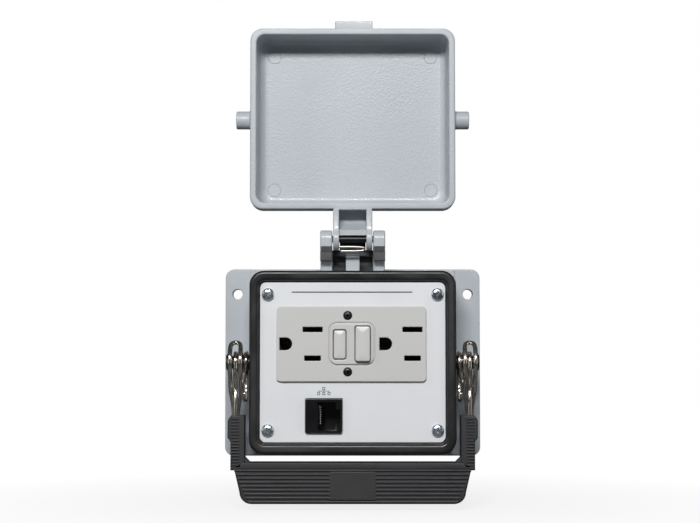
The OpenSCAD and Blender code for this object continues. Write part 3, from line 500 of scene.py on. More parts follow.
crown = seal_low.y
gasket_profile = [(0.03, rim_level - 0.02 * mm), (0.0, rim_level - 0.3 * mm)]
for i in range(7):
    a = math.radians(90 * i / 6)
    gasket_profile.append((0.30 * (1 - math.cos(a)), crown + 1.3 * mm * (1 - math.sin(a))))
for i in range(6):
    a = math.radians(90 * i / 5)
    gasket_profile.append((0.62 + 0.26 * math.sin(a), crown + 0.1 * mm + 1.1 * mm * (1 - math.cos(a))))
gasket_profile += [(0.9, plate_low.y - 0.25 * mm), (0.97, plate_low.y - 0.12 * mm),
                   (1.0, plate_low.y + 0.1 * mm), (1.0, rim_level - 0.02 * mm)]
ring_rubber = bmesh.new()
loft(ring_rubber, [gasket_ring(*station) for station in gasket_profile], closed=True)
piece("rim_gasket_ring", ring_rubber, rubber, "housing", ["rim_gasket"], 50)

flat_rubber = bmesh.new()
sheet(flat_rubber, [rounded(114 * mm, 82.8 * mm, 3 * mm),
                    rounded(cavity_w + 1 * mm, cavity_h + 1 * mm, 3.5 * mm)]
      + [circle(2.25 * mm, *p) for p in bolt_places],
      panel_seal_low.y, panel_seal_high.y, 0.12 * mm)
piece("flange_gasket", flat_rubber, rubber, "housing", ["panel_gasket"])


# ---- Faceplate -----------------------------------------------------------------------------
# Punched aluminium sheet in near-white satin paint, with cut-outs for outlet and jack. One
# printed rule and a plain network pictogram stay; they lie 0.03 mm proud, as screened ink does.

plate_paint = grained("plate_paint", (0.735, 0.75, 0.77), 0.34, grain=2400, depth=0.012 * mm,
                      mottle=0.012, uneven=0.04)
outlet_low, outlet_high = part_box("outlet_face")
outlet_x = (outlet_low.x + outlet_high.x) / 2
outlet_z = (outlet_low.z + outlet_high.z) / 2
jack_low, jack_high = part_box("jack_body")
jack_x = (jack_low.x + jack_high.x) / 2
jack_z = (jack_low.z + jack_high.z) / 2

panel = bmesh.new()
sheet(panel, [rounded(plate_high.x - plate_low.x, plate_high.z - plate_low.z, 2.6 * mm),
              rounded(64.4 * mm, 31.6 * mm, 0.4 * mm, outlet_x, outlet_z, 3),
              rounded(jack_high.x - jack_low.x + 0.4 * mm, jack_high.z - jack_low.z + 0.4 * mm,
                      0.3 * mm, jack_x, jack_z, 3)]
      + [circle(1.7 * mm, *p) for p in screw_places], plate_low.y, plate_high.y, 0.3 * mm)
piece("painted_faceplate", panel, plate_paint, "housing", ["faceplate"])

ink = grained("screen_ink", (0.02, 0.021, 0.024), 0.5, grain=5000, depth=0.004 * mm, mottle=0.2)
ink_front = plate_low.y - 0.03 * mm
ink_back = plate_low.y + 0.1 * mm
marks = bmesh.new()


def ink_box(x0, x1, z0, z1):
    sheet(marks, [[(x0, z0), (x1, z0), (x1, z1), (x0, z1)]], ink_front, ink_back, 0.01 * mm)


rule_z = 31 * mm
ink_box(-27 * mm, 26.4 * mm, rule_z - 0.26 * mm, rule_z + 0.26 * mm)
sign_x, sign_z = jack_x, jack_high.z + 3.4 * mm
box_half, line = 0.62 * mm, 0.11 * mm
for dx, dz in ((0, 1.1), (-2.3, -1.1), (0, -1.1), (2.3, -1.1)):
    x, z = sign_x + dx * mm, sign_z + dz * mm
    sheet(marks, [[(x - box_half, z - box_half), (x + box_half, z - box_half),
                   (x + box_half, z + box_half), (x - box_half, z + box_half)],
                  [(x - 0.36 * mm, z - 0.36 * mm), (x + 0.36 * mm, z - 0.36 * mm),
                   (x + 0.36 * mm, z + 0.36 * mm), (x - 0.36 * mm, z + 0.36 * mm)]],
          ink_front, ink_back, 0.01 * mm)
ink_box(sign_x - 2.3 * mm - line, sign_x + 2.3 * mm + line, sign_z - line, sign_z + line)
ink_box(sign_x - line, sign_x + line, sign_z + line + 0.02 * mm, sign_z + 0.46 * mm)
for dx in (-2.3, 0, 2.3):
    ink_box(sign_x + dx * mm - line, sign_x + dx * mm + line,
            sign_z - 0.46 * mm, sign_z - line - 0.02 * mm)
piece("faceplate_print", marks, ink, "housing")


# ---- Faceplate screws ----------------------------------------------------------------------
# Four zinc-plated pan-head machine screws with a cross recess. One screw is shaped once and a
# node tree sets it at the four corners, each turned differently, as hand-driven screws are.

zinc = grained("zinc_plate", (0.60, 0.66, 0.72), 0.24, grain=3200, depth=0.02 * mm,
               mottle=0.12, uneven=0.1, waves=400, metallic=1.0)


def cross_cutter(half_width, reach, top, depth):
    """Tapered cross that cuts the recess; the screw's axis is Y and its head faces -Y."""
    bm = bmesh.new()
    for turn in (0, 90):
        spin = Matrix.Rotation(math.radians(turn), 4, "Y")
        rings = []
        for level, share in ((top - 0.2 * mm, 1.08), (top, 1.0), (top + depth, 0.35)):
            ring = [(-reach * share, -half_width), (reach * share, -half_width),
                    (reach * share, half_width), (-reach * share, half_width)]
            rings.append([spin @ Vector((x, level, z)) for x, z in ring])
        loft(bm, rings)
    bmesh.ops.recalc_face_normals(bm, faces=bm.faces)
    mesh = bpy.data.meshes.new("cross_cutter")
    bm.to_mesh(mesh)
    bm.free()
    return mesh


def flattened(holder):
    """Plain mesh of an object with its modifiers applied; the object is then removed."""
    depsgraph = bpy.context.evaluated_depsgraph_get()
    mesh = bpy.data.meshes.new_from_object(holder.evaluated_get(depsgraph))
    bpy.data.objects.remove(holder)
    return mesh


def holder_of(mesh, name):
    made = bpy.data.objects.new(name, mesh)
    scene.collection.objects.link(made)
    return made


def cross_screw(name, head_r, head_t, shank_r, shank_l, recess):
    """Pan-head screw about the Y axis, seated at level 0 with its head towards -Y."""
    bm = bmesh.new()
    profile = [(0, -head_t)]
    for i in range(1, 8):
        a = math.radians(90 * i / 7)
        profile.append((head_r * math.sin(a) ** 0.75, -head_t * (0.45 + 0.55 * math.cos(a))))
    profile += [(head_r, -0.12 * mm), (head_r - 0.12 * mm, 0), (shank_r, 0),
                (shank_r, shank_l - 0.4 * mm), (shank_r - 0.4 * mm, shank_l), (0, shank_l)]
    turned(bm, profile, (0, 0, 0), "y", 36)
    bmesh.ops.recalc_face_normals(bm, faces=bm.faces)
    mesh = bpy.data.meshes.new(name)
    bm.to_mesh(mesh)
    bm.free()
    screw = holder_of(mesh, name)
    cutter = holder_of(cross_cutter(0.2 * head_r / 1.35, recess, -head_t, 0.62 * head_t), "cutter")
    cut = screw.modifiers.new("recess", "BOOLEAN")
    cut.operation = "DIFFERENCE"
    cut.solver = "EXACT"
    cut.use_self = True
    cut.object = cutter
    mesh = flattened(screw)
    bpy.data.objects.remove(cutter)
    mesh.polygons.foreach_set("use_smooth", [True] * len(mesh.polygons))
    mesh.set_sharp_from_angle(angle=math.radians(38))
    return mesh


def corner_tree():
    """Node tree that sets one part at the corners of a rectangle in the XZ plane."""
    tree = bpy.data.node_groups.new("parts_at_corners", "GeometryNodeTree")
    kinds = {"Part": "NodeSocketObject", "Width": "NodeSocketFloat", "Height": "NodeSocketFloat",
             "Centre": "NodeSocketVector", "Turn": "NodeSocketFloat", "Seed": "NodeSocketInt",
             "Finish": "NodeSocketMaterial"}
    tree.interface.new_socket("Geometry", in_out="INPUT", socket_type="NodeSocketGeometry")
    for name, kind in kinds.items():
        tree.interface.new_socket(name, in_out="INPUT", socket_type=kind)
    tree.interface.new_socket("Geometry", in_out="OUTPUT", socket_type="NodeSocketGeometry")
    add, join = tree.nodes.new, tree.links.new
    inlet, outlet = add("NodeGroupInput"), add("NodeGroupOutput")
    grid = added(tree, "GeometryNodeMeshGrid", {"Vertices X": 2, "Vertices Y": 2})
    stand = added(tree, "GeometryNodeTransform", {"Rotation": (math.radians(90), 0, 0)})
    part = add("GeometryNodeObjectInfo")
    chance = added(tree, "FunctionNodeRandomValue", data_type="FLOAT")
    spin = add("ShaderNodeCombineXYZ")
    spread = add("GeometryNodeInstanceOnPoints")
    real = add("GeometryNodeRealizeInstances")
    finish = add("GeometryNodeSetMaterial")
    join(inlet.outputs["Width"], grid.inputs["Size X"])
    join(inlet.outputs["Height"], grid.inputs["Size Y"])
    join(grid.outputs["Mesh"], stand.inputs["Geometry"])
    join(inlet.outputs["Centre"], stand.inputs["Translation"])
    join(stand.outputs["Geometry"], spread.inputs["Points"])
    join(inlet.outputs["Part"], part.inputs["Object"])
    join(part.outputs["Geometry"], spread.inputs["Instance"])
    join(inlet.outputs["Turn"], chance.inputs[3])
    join(inlet.outputs["Seed"], chance.inputs["Seed"])
    join(chance.outputs[1], spin.inputs["Y"])
    join(spin.outputs["Vector"], spread.inputs["Rotation"])
    join(spread.outputs["Instances"], real.inputs["Geometry"])
    join(real.outputs["Geometry"], finish.inputs["Geometry"])
    join(inlet.outputs["Finish"], finish.inputs["Material"])
    join(finish.outputs["Geometry"], outlet.inputs["Geometry"])
    return tree


def grown(name, tree, values):
    """Plain mesh that a node tree makes from the given named inputs."""
    holder = holder_of(bpy.data.meshes.new(name), name)
    modifier = holder.modifiers.new("nodes", "NODES")
    modifier.node_group = tree
    sockets = {item.name: item.identifier for item in tree.interface.items_tree
               if item.item_type == "SOCKET" and item.in_out == "INPUT"}
    for key, value in values.items():
        modifier[sockets[key]] = value
    return flattened(holder)


parts_at_corners = corner_tree()
pan_screw = holder_of(cross_screw("pan_screw", 2.75 * mm, 1.75 * mm, 1.5 * mm, 9 * mm, 1.75 * mm),
                      "pan_screw")
screws = grown("faceplate_screws_mesh", parts_at_corners, {
    "Part": pan_screw, "Width": 74.9 * mm, "Height": 60 * mm,
    "Centre": (0.0, plate_low.y, 0.0), "Turn": 1.5, "Seed": 7, "Finish": zinc})
bpy.data.objects.remove(pan_screw)
settle("corner_screws", screws, zinc, "housing", ["faceplate_screws"])


# ---- Outlet face ---------------------------------------------------------------------------
# Moulded grey thermoplastic with two sets of slots, the ground holes to the left of each pair,
# and a raised surround about the two buttons. Two small black screws hold it to its strap.

outlet_plastic = grained("outlet_plastic", (0.575, 0.573, 0.563), 0.34, grain=900, depth=0.02 * mm,
                         mottle=0.0, uneven=0.0, stretch=0.25)
button_plastic = grained("button_plastic", (0.60, 0.598, 0.59), 0.30, grain=1400, depth=0.03 * mm,
                         mottle=0.01, uneven=0.02, stretch=0.2)
face_front = plate_low.y - 1.5 * mm
face_back = outlet_high.y
pair_x = [outlet_x + (4.95 + s * 22.05) * mm for s in (-1, 1)]
ground_x = [x - 11.85 * mm for x in pair_x]
blade = 6.35 * mm
test_low, test_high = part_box("test_button")
reset_low, reset_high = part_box("reset_button")
test_x, test_z = (test_low.x + test_high.x) / 2, (test_low.z + test_high.z) / 2
reset_x, reset_z = (reset_low.x + reset_high.x) / 2, (reset_low.z + reset_high.z) / 2
test_size, reset_size = (5.3 * mm, 12.6 * mm), (6.4 * mm, 15.4 * mm)
button_gap = 0.35 * mm
face_screws = [(outlet_x - 1.6 * mm, outlet_z + s * 12.45 * mm) for s in (-1, 1)]


def slot(x, z, length):
    return rounded(length, 2.3 * mm, 0.25 * mm, x, z, 3)


def ground_hole(x, z, radius=2.8 * mm):
    """Flat towards the left, round towards the right."""
    arc = [(x + radius * math.sin(a), z - radius * math.cos(a))
           for a in (math.radians(180 * i / 14) for i in range(15))]
    return [*arc, (x - radius, z + radius), (x - radius, z - radius)]


def button_hole(x, z, size):
    return rounded(size[0] + 2 * button_gap, size[1] + 2 * button_gap, 1.1 * mm, x, z, 5)


face_holes = [slot(x, outlet_z + blade, 8.8 * mm) for x in pair_x]
face_holes += [slot(x, outlet_z - blade, 7.3 * mm) for x in pair_x]
face_holes += [ground_hole(x, outlet_z) for x in ground_x]
key_holes = [button_hole(test_x, test_z, test_size), button_hole(reset_x, reset_z, reset_size)]
neck_holes = face_holes + key_holes + [circle(1.3 * mm, *p, 20) for p in face_screws]
face_holes = face_holes + [circle(1.98 * mm, *p, 24) for p in face_screws]

groove = rounded(20.5 * mm, 19.1 * mm, 3.8 * mm, outlet_x + 0.2 * mm, outlet_z)
surround = rounded(19.6 * mm, 18.2 * mm, 3.4 * mm, outlet_x + 0.2 * mm, outlet_z)

moulding = bmesh.new()
sheet(moulding, [rounded(66 * mm, 33.2 * mm, 1.8 * mm, outlet_x, outlet_z), *face_holes,
                 groove], face_front, face_front + 1.2 * mm, 0.3 * mm, steps=3)
sheet(moulding, [rounded(64 * mm, 31.2 * mm, 0.6 * mm, outlet_x, outlet_z), *neck_holes],
      face_front + 1.1 * mm, face_back, 0.1 * mm)
sheet(moulding, [surround, *key_holes], face_front - 0.35 * mm, face_front + 1.2 * mm,
      0.4 * mm, steps=3)
sheet(moulding, [groove, *key_holes], face_front + 0.45 * mm, face_front + 1.2 * mm, 0.05 * mm)
piece("moulded_face", moulding, outlet_plastic, "housing", ["outlet_face"])

black_coat = grained("black_coat", (0.012, 0.012, 0.013), 0.35, grain=3000, depth=0.02 * mm,
                     mottle=0.2, metallic=0.4)
black_screw = holder_of(cross_screw("black_screw", 1.9 * mm, 1.0 * mm, 1.2 * mm, 6.6 * mm,
                                    1.15 * mm), "black_screw")
pair = grown("outlet_screws_mesh", parts_at_corners, {
    "Part": black_screw, "Width": 0.0, "Height": 24.9 * mm,
    "Centre": (outlet_x - 1.6 * mm, face_front + 1.1 * mm, outlet_z), "Turn": 1.5, "Seed": 3,
    "Finish": black_coat})
bpy.data.objects.remove(black_screw)
lone = bmesh.new()
lone.from_mesh(pair)
bmesh.ops.remove_doubles(lone, verts=lone.verts, dist=0.0005 * mm)
piece("face_screws", lone, black_coat, "housing", ["outlet_screws"])


# ---- Buttons -------------------------------------------------------------------------------
# Two rocker-like keys of the same plastic. Each has a crowned front with soft edges, a retaining
# collar behind the face and a stem through its spring.

def key(bm, x, z, size, front, collar, back, crown_depth):
    """Key with a crowned front: rings shrink towards the front and a low dome closes it."""
    w, h = size
    rings = []
    for sink, level in ((0.0, back), (0.0, front + 0.9 * mm)):
        rings.append([(u, level, v) for u, v in rounded(w - 2 * sink, h - 2 * sink, 0.9 * mm, x, z, 6)])
    for i in range(1, 6):
        a = math.radians(90 * i / 5)
        sink = 0.7 * mm * (1 - math.cos(a))
        level = front + 0.9 * mm - (0.9 * mm - crown_depth) * math.sin(a)
        rings.append([(u, level, v) for u, v in
                      rounded(w - 2 * sink, h - 2 * sink, 0.9 * mm - 0.5 * sink, x, z, 6)])
    for share in (0.35, 0.7, 0.92):
        sink = 0.7 * mm + share * (w / 2 - 0.75 * mm)
        level = front + crown_depth * (1 - math.sin(math.radians(90 * share)))
        radius = max(min(0.5 * mm, w / 2 - sink - 0.01 * mm), 0.02 * mm)
        rings.append([(u, level, v) for u, v in
                      rounded(w - 2 * sink, h - 2 * sink, radius, x, z, 6)])
    loft(bm, rings)
    sheet(bm, [rounded(w + 1.8 * mm, h + 1.4 * mm, 0.6 * mm, x, z, 3)], collar, collar + 1 * mm,
          0.15 * mm)


collar = plate_high.y + 0.2 * mm
key_back = reset_high.y
test_key = bmesh.new()
key(test_key, test_x, test_z, test_size, test_low.y, collar, key_back, 0.25 * mm)
turned(test_key, [(0, 0), (1.0 * mm, 0), (1.1 * mm, 0.1 * mm), (1.1 * mm, test_high.y - key_back
                                                               - 0.2 * mm),
                  (0.9 * mm, test_high.y - key_back), (0, test_high.y - key_back)],
       (test_x, key_back - 0.05 * mm, test_z), "y", 20)
piece("test_key", test_key, button_plastic, "test", ["test_button"])
reset_key = bmesh.new()
key(reset_key, reset_x, reset_z, reset_size, reset_low.y, collar, key_back, 0.3 * mm)
piece("reset_key", reset_key, button_plastic, "reset", ["reset_button"])


# ---- Network jack --------------------------------------------------------------------------
# Glossy black moulding in two halves, each with a socket, a latch notch and eight gilt contacts
# that slant into the socket. A clip behind the faceplate holds it.

jack_plastic = grained("jack_plastic", (0.005, 0.005, 0.006), 0.22, grain=1500, depth=0.01 * mm,
                       mottle=0.2, uneven=0.05)
# Painted shade: the gilt's colour is set far darker than gold, and its deep reach darkens it further
# inside the socket
gilt = grained("gilt", (0.10, 0.07, 0.03), 0.45, grain=4000, depth=0.01 * mm, mottle=0.06,
               deep=14 * mm, metallic=1.0)
socket_x, socket_z = jack_x + 1.35 * mm, jack_z - 0.2 * mm


def socket_outline(grow=0.0):
    """Socket with its latch notch on the right side."""
    half_w, half_h = 3.9 * mm + grow, 6.15 * mm + grow
    notch_x, notch_h = socket_x + half_w + 2 * mm, 3 * mm + grow
    x0, x1 = socket_x - half_w, socket_x + half_w
    return [(x0, socket_z - half_h), (x1, socket_z - half_h), (x1, socket_z - notch_h),
            (notch_x, socket_z - notch_h), (notch_x, socket_z + notch_h),
            (x1, socket_z + notch_h), (x1, socket_z + half_h), (x0, socket_z + half_h)]


for name, node, mouth, blind in (("jack_front_half", "jack_body", -1, 14.3 * mm),
                                 ("jack_rear_half", "jack_rear", 1, 14.3 * mm)):
    half_low, half_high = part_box(node)
    open_y = half_low.y if mouth < 0 else half_high.y
    floor_y = open_y - mouth * blind
    closed_y = half_high.y if mouth < 0 else half_low.y
    block_outline = rounded(half_high.x - half_low.x, half_high.z - half_low.z, 0.5 * mm,
                            jack_x, jack_z, 4)
    halves = bmesh.new()
    sheet(halves, [block_outline, socket_outline()], *sorted((open_y, floor_y)), 0.25 * mm)
    channel = rounded(1.0 * mm, 8.5 * mm, 0.1 * mm, socket_x - 3.4 * mm, socket_z, 2)
    sheet(halves, [block_outline, channel], *sorted((floor_y, closed_y)), 0.05 * mm)
    piece(name, halves, jack_plastic, "housing", [node])

contact_low, contact_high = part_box("jack_contacts")
fingers = bmesh.new()
for i in range(8):
    z = socket_z + (i - 3.5) * 1.02 * mm
    base = contact_low.x + 0.2 * mm
    for end, inward in ((contact_low.y, 1), (contact_high.y, -1)):
        bend = [(base, 0.0), (base + 0.25 * mm, 0.35 * mm), (base + 2.25 * mm, 8.0 * mm)]
        rings = []
        for x, run in bend:
            y = end + inward * run
            rings.append([(x - 0.17 * mm, y, z - 0.2 * mm), (x + 0.17 * mm, y, z - 0.2 * mm),
                          (x + 0.17 * mm, y, z + 0.2 * mm), (x - 0.17 * mm, y, z + 0.2 * mm)])
        loft(fingers, rings)
    block(fingers, (base - 0.2 * mm, base + 0.2 * mm), (contact_low.y, contact_high.y),
          (z - 0.2 * mm, z + 0.2 * mm), 0.05 * mm)
piece("jack_gilt_contacts", fingers, gilt, "housing", ["jack_contacts"])


# ---- Cover ---------------------------------------------------------------------------------
# Die-cast aluminium cup in the same paint as the housing, with two round pegs for the lever's
# hooks, a finger tab and a hollow arm to the hinge. Four ejector marks show on its inner floor.

lid_w, lid_h, lid_d = 92 * mm, 81.6 * mm, 19 * mm
lid_wall, lid_deep = 2.8 * mm, 16.5 * mm
edge_round, inner_round = 9 * mm, 3.2 * mm
closed_rim = seal_low.y - 0.1 * mm
lid_rim = 2 * hinge.y - closed_rim
lid_z = 2 * hinge.z
lid_bottom = lid_z - lid_h / 2


def lid_ring(sink, depth, radius):
    outline = rounded(lid_w - 2 * sink, lid_h - 2 * sink, radius, 0, lid_z, 12)
    return [(x, lid_rim + depth, z) for x, z in outline]


cup = bmesh.new()
rings = []
for share in (0.5, 0.15):
    sink = edge_round + share * 30 * mm
    rings.append(lid_ring(sink, lid_d, 5.6 * mm))
for i in range(15):
    a = math.radians(90 * (1 - i / 14))
    rings.append(lid_ring(edge_round * (1 - math.cos(a)),
                          lid_d - edge_round + edge_round * math.sin(a), 5.6 * mm))
rim_edge = 0.7 * mm
for i in range(5):
    a = math.radians(90 * i / 4)
    rings.append(lid_ring(rim_edge * (1 - math.cos(a)), rim_edge * (1 - math.sin(a)), 5.6 * mm))
for i in range(5):
    a = math.radians(90 * i / 4)
    rings.append(lid_ring(lid_wall - 0.6 * mm * (1 - math.sin(a)), 0.6 * mm * (1 - math.cos(a)),
                          3.9 * mm))
for i in range(13):
    a = math.radians(90 * i / 12)
    rings.append(lid_ring(lid_wall + 0.6 * mm + inner_round * (1 - math.cos(a)),
                          lid_deep - inner_round + inner_round * math.sin(a),
                          (4.2 + 1.0 * i / 12) * mm))
for share in (0.15, 0.5):
    sink = lid_wall + 0.6 * mm + inner_round + share * 30 * mm
    rings.append(lid_ring(sink, lid_deep, 5 * mm))
loft(cup, rings)

# Finger tab at the edge far from the hinge
block(cup, (-7.9 * mm, 8.9 * mm), (lid_rim + 0.05 * mm, lid_rim + 3.5 * mm),
      (lid_z + lid_h / 2 - 1.5 * mm, lid_z + lid_h / 2 + 3.2 * mm), 0.6 * mm)

# Side pegs with a small foot round and a broken outer edge
peg_y = 2 * hinge.y - (closed_rim - 6.9 * mm)
peg_r, peg_out = 4.05 * mm, 52.5 * mm
for side in (-1, 1):
    turned(cup, [(0, 44 * mm * side), (peg_r + 0.9 * mm, 44 * mm * side),
                 (peg_r + 0.9 * mm, (lid_w / 2 - 0.05 * mm) * side),
                 (peg_r + 0.35 * mm, (lid_w / 2 + 0.25 * mm) * side),
                 (peg_r, (lid_w / 2 + 0.8 * mm) * side),
                 (peg_r, (peg_out - 0.5 * mm) * side), (peg_r - 0.15 * mm, (peg_out - 0.15 * mm)
                                                        * side),
                 (peg_r - 0.5 * mm, peg_out * side), (0, peg_out * side)],
           (0, peg_y, lid_z), "x", 40)

# Arm: two cheeks round the hinge pin, and between them a web with a pocket and a cross bar
arm_half, window_half = 8.7 * mm, 6 * mm
cheek_r = 5 * mm
arm_front = hinge.y - 2.5 * mm
arm_back = peg_y - 0.9 * mm
arm_foot = lid_bottom - 0.5 * mm
pin_hole = 1.6 * mm
cheek = [(arm_front, arm_foot), (arm_front, hinge.z + 5 * mm)]
cheek += [(hinge.y + cheek_r * math.cos(a), hinge.z + cheek_r * math.sin(a))
          for a in (math.radians(150 + 15 * i) for i in range(14))]
cheek += [(arm_back, lid_bottom - 2 * mm), (arm_back, lid_bottom + 1.2 * mm),
          (lid_rim + 0.4 * mm, lid_bottom + 1.2 * mm), (lid_rim - 0.1 * mm, arm_foot)]
for side in (-1, 1):
    near, far = sorted((side * window_half, side * arm_half))
    sheet(cup, [cheek, circle(pin_hole, hinge.y, hinge.z, 24)], near, far, 0.5 * mm, axis="x")
bar_bottom, bar_top = hinge.z + 1.6 * mm, hinge.z + 4 * mm
pocket_back = peg_y - 3.5 * mm
pocket_top = lid_bottom - 0.7 * mm
web = [(arm_front + 0.35 * mm, bar_bottom), (arm_front + 0.35 * mm, bar_top),
       (hinge.y - 0.3 * mm, bar_top), (pocket_back - 0.8 * mm, bar_top + 3.6 * mm),
       (pocket_back, bar_top + 4.6 * mm), (pocket_back, pocket_top),
       (arm_front + 0.35 * mm, pocket_top), (arm_front + 0.35 * mm, arm_foot - 0.02 * mm),
       (lid_rim - 0.1 * mm, arm_foot - 0.02 * mm), (lid_rim + 0.5 * mm, lid_bottom + 1.1 * mm),
       (arm_back - 0.1 * mm, lid_bottom + 1.1 * mm), (arm_back - 0.1 * mm, lid_bottom - 2 * mm),
       (hinge.y + cheek_r - 0.2 * mm, hinge.z + 3 * mm),
       (hinge.y + cheek_r - 0.6 * mm, bar_bottom)]
sheet(cup, [web], -window_half - 0.3 * mm, window_half + 0.3 * mm, 0.1 * mm, axis="x")
piece("cast_cover", cup, cast_paint, "cover", ["lid"])

mark = bmesh.new()
ring_profile = [(2.72, 0.0), (2.76, -0.22), (2.9, -0.3), (3.08, -0.22), (3.14, 0.0)]
loft(mark, [[(r * mm * math.cos(t), level * mm, r * mm * math.sin(t)) for t in
             (2 * math.pi * i / 36 for i in range(36))] for r, level in ring_profile], closed=True)
bmesh.ops.recalc_face_normals(mark, faces=mark.faces)
mark_mesh = bpy.data.meshes.new("ejector_mark")
mark.to_mesh(mark_mesh)
mark.free()
ejector = holder_of(mark_mesh, "ejector_mark")
ejector_rings = grown("ejector_marks_mesh", parts_at_corners, {
    "Part": ejector, "Width": 71.4 * mm, "Height": 61.2 * mm,
    "Centre": (0.0, lid_rim + lid_deep + 0.04 * mm, lid_z), "Turn": 0.0, "Seed": 1,
    "Finish": cast_paint})
bpy.data.objects.remove(ejector)
settle("cover_ejector_marks", ejector_rings, cast_paint, "cover")


# ---- Lever wires and pins ------------------------------------------------------------------
# Bright stainless wire. On each side one wire turns round the pivot pin and ends in the hook for
# the cover's peg; a second one is a bow over the pin with both of its ends in the grip.

def tube(bm, path, radius, sides=16):
    """Round wire along a path, with rounded ends; its rings are carried without twist."""
    points = [Vector(p) for p in path]
    headings = [(points[min(i + 1, len(points) - 1)] - points[max(i - 1, 0)]).normalized()
                for i in range(len(points))]
    up = Vector((1, 0, 0)) if abs(headings[0].x) < 0.9 else Vector((0, 1, 0))
    rings = []
    last = len(points) - 1
    for i, (point, heading) in enumerate(zip(points, headings)):
        up = (up - up.dot(heading) * heading).normalized()
        side = heading.cross(up)
        stations = [(1.0, 0.0)]
        if i == 0:
            stations = [(0.4, -0.92), (0.8, -0.6), (1.0, 0.0)]
        if i == last:
            stations = [(1.0, 0.0), (0.8, 0.6), (0.4, 0.92)]
        for share, ahead in stations:
            centre = point + heading * (ahead * 0.5 * radius)
            rings.append([centre + share * radius * (math.cos(t) * up + math.sin(t) * side)
                          for t in (2 * math.pi * k / sides for k in range(sides))])
    loft(bm, rings)


def eased(path, rounds=2):
    """The path with its corners cut, so that its bends are even."""
    points = [Vector(p) for p in path]
    for _ in range(rounds):
        cut = [points[0]]
        for a, b in zip(points, points[1:]):
            cut += [a.lerp(b, 0.25), a.lerp(b, 0.75)]
        points = [*cut, points[-1]]
    return points


stainless = grained("stainless", (0.62, 0.58, 0.53), 0.18, grain=900, depth=0.01 * mm,
                    mottle=0.1, uneven=0.06, stretch=0.2, metallic=1.0)
wire_r = 1.0 * mm
layer = 2 * wire_r + 0.3 * mm
hook_x = shell_w / 2 + 0.7 * mm + wire_r
ring_x, leg_x, loop_x = hook_x + layer, hook_x + 2 * layer, hook_x + 3 * layer
wrap_r = 3 * mm + 0.15 * mm + wire_r
peg_reach = pivot.y - (closed_rim - 6.9 * mm)
seat_r = peg_r + wire_r + 0.4 * mm
bow_r = peg_reach - seat_r - 0.15 * mm
bow_top, bow_low = 62, -66
leg_forward = 2.4 * mm
grip_low, grip_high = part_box("lever_grip")
grip_top = grip_high.z
wire_end = -41.1 * mm


def around(x0, x1, forward, up, radius, a0, a1, count):
    """Arc seen from the side: angles run from forward to up, and x changes evenly."""
    arc = []
    for i in range(count + 1):
        s = i / count
        a = math.radians(a0 + (a1 - a0) * s)
        arc.append((x0 + (x1 - x0) * s, pivot.y - forward - radius * math.cos(a),
                    pivot.z + up + radius * math.sin(a)))
    return arc


def hook_wire():
    """Leg out of the grip and round the closed peg's place, turns round the pin, the hook."""
    forward = peg_reach * math.cos(math.radians(-60))
    up = peg_reach * math.sin(math.radians(-60))
    nook = forward - peg_r - wire_r - 0.25 * mm
    path = [(leg_x, pivot.y - leg_forward, z) for z in (wire_end, -26 * mm, up - 7 * mm)]
    path += [(leg_x, pivot.y - nook - f * mm, up + z * mm)
             for f, z in ((0.9, -4), (0, -1.2), (0, 1.2), (1.8, 4), (3.2, 5.5))]
    path.append((leg_x, pivot.y - wrap_r * math.cos(math.radians(-10)), -0.74 * mm))
    path += around(leg_x, leg_x, 0, 0, wrap_r, 5, 175, 8)
    path += around(leg_x, ring_x, 0, 0, wrap_r, 195, 345, 7)
    path += around(ring_x, ring_x, 0, 0, wrap_r, 365, 540, 8)
    path += around(ring_x, hook_x, 0, 0, wrap_r, 560, 705, 7)
    path += around(hook_x, hook_x, 0, 0, wrap_r, 725, 895, 8)
    path += [(hook_x, pivot.y + wrap_r - 0.5 * mm, -2.2 * mm),
             (hook_x, pivot.y + wrap_r - 2.4 * mm, -5.4 * mm)]
    path += around(hook_x, hook_x, forward, up, seat_r, 175, 300, 10)
    return eased(path + around(hook_x, hook_x, 0, 0, peg_reach + seat_r, -56, -46, 2))


def bow_side(x, sink, forward, fall):
    """Half of the bow: out of the grip beside the leg, then round in front of the pin."""
    inner = leg_x + sink
    low_forward = bow_r * math.cos(math.radians(bow_low))
    low_z = bow_r * math.sin(math.radians(bow_low))
    path = [(inner, pivot.y - forward, wire_end), (inner, pivot.y - forward, grip_top + 1 * mm),
            (x - (x - inner) * 0.4, pivot.y - forward, low_z - 9 * mm),
            (x, pivot.y - forward, low_z - fall),
            (x, pivot.y - forward - (low_forward - forward) * 0.6, low_z - 2.6 * mm)]
    return path + around(x, x, 0, 0, bow_r, bow_low, bow_top, 10)


def bow_wire():
    half = (loop_x - ring_x) / 2
    turn = []
    for i in range(1, 8):
        u = math.pi * i / 8
        a = math.radians(bow_top) + 1.5 * half / bow_r * math.sin(u)
        turn.append((ring_x + half + half * math.cos(u), pivot.y - bow_r * math.cos(a),
                     pivot.z + bow_r * math.sin(a) + 1.4 * mm * math.sin(u)))
    outer = bow_side(loop_x, 0.6 * mm, -0.1 * mm, 6 * mm)
    inner = bow_side(ring_x, -0.6 * mm, -2.5 * mm, 9 * mm)
    return eased(outer + turn + inner[::-1])


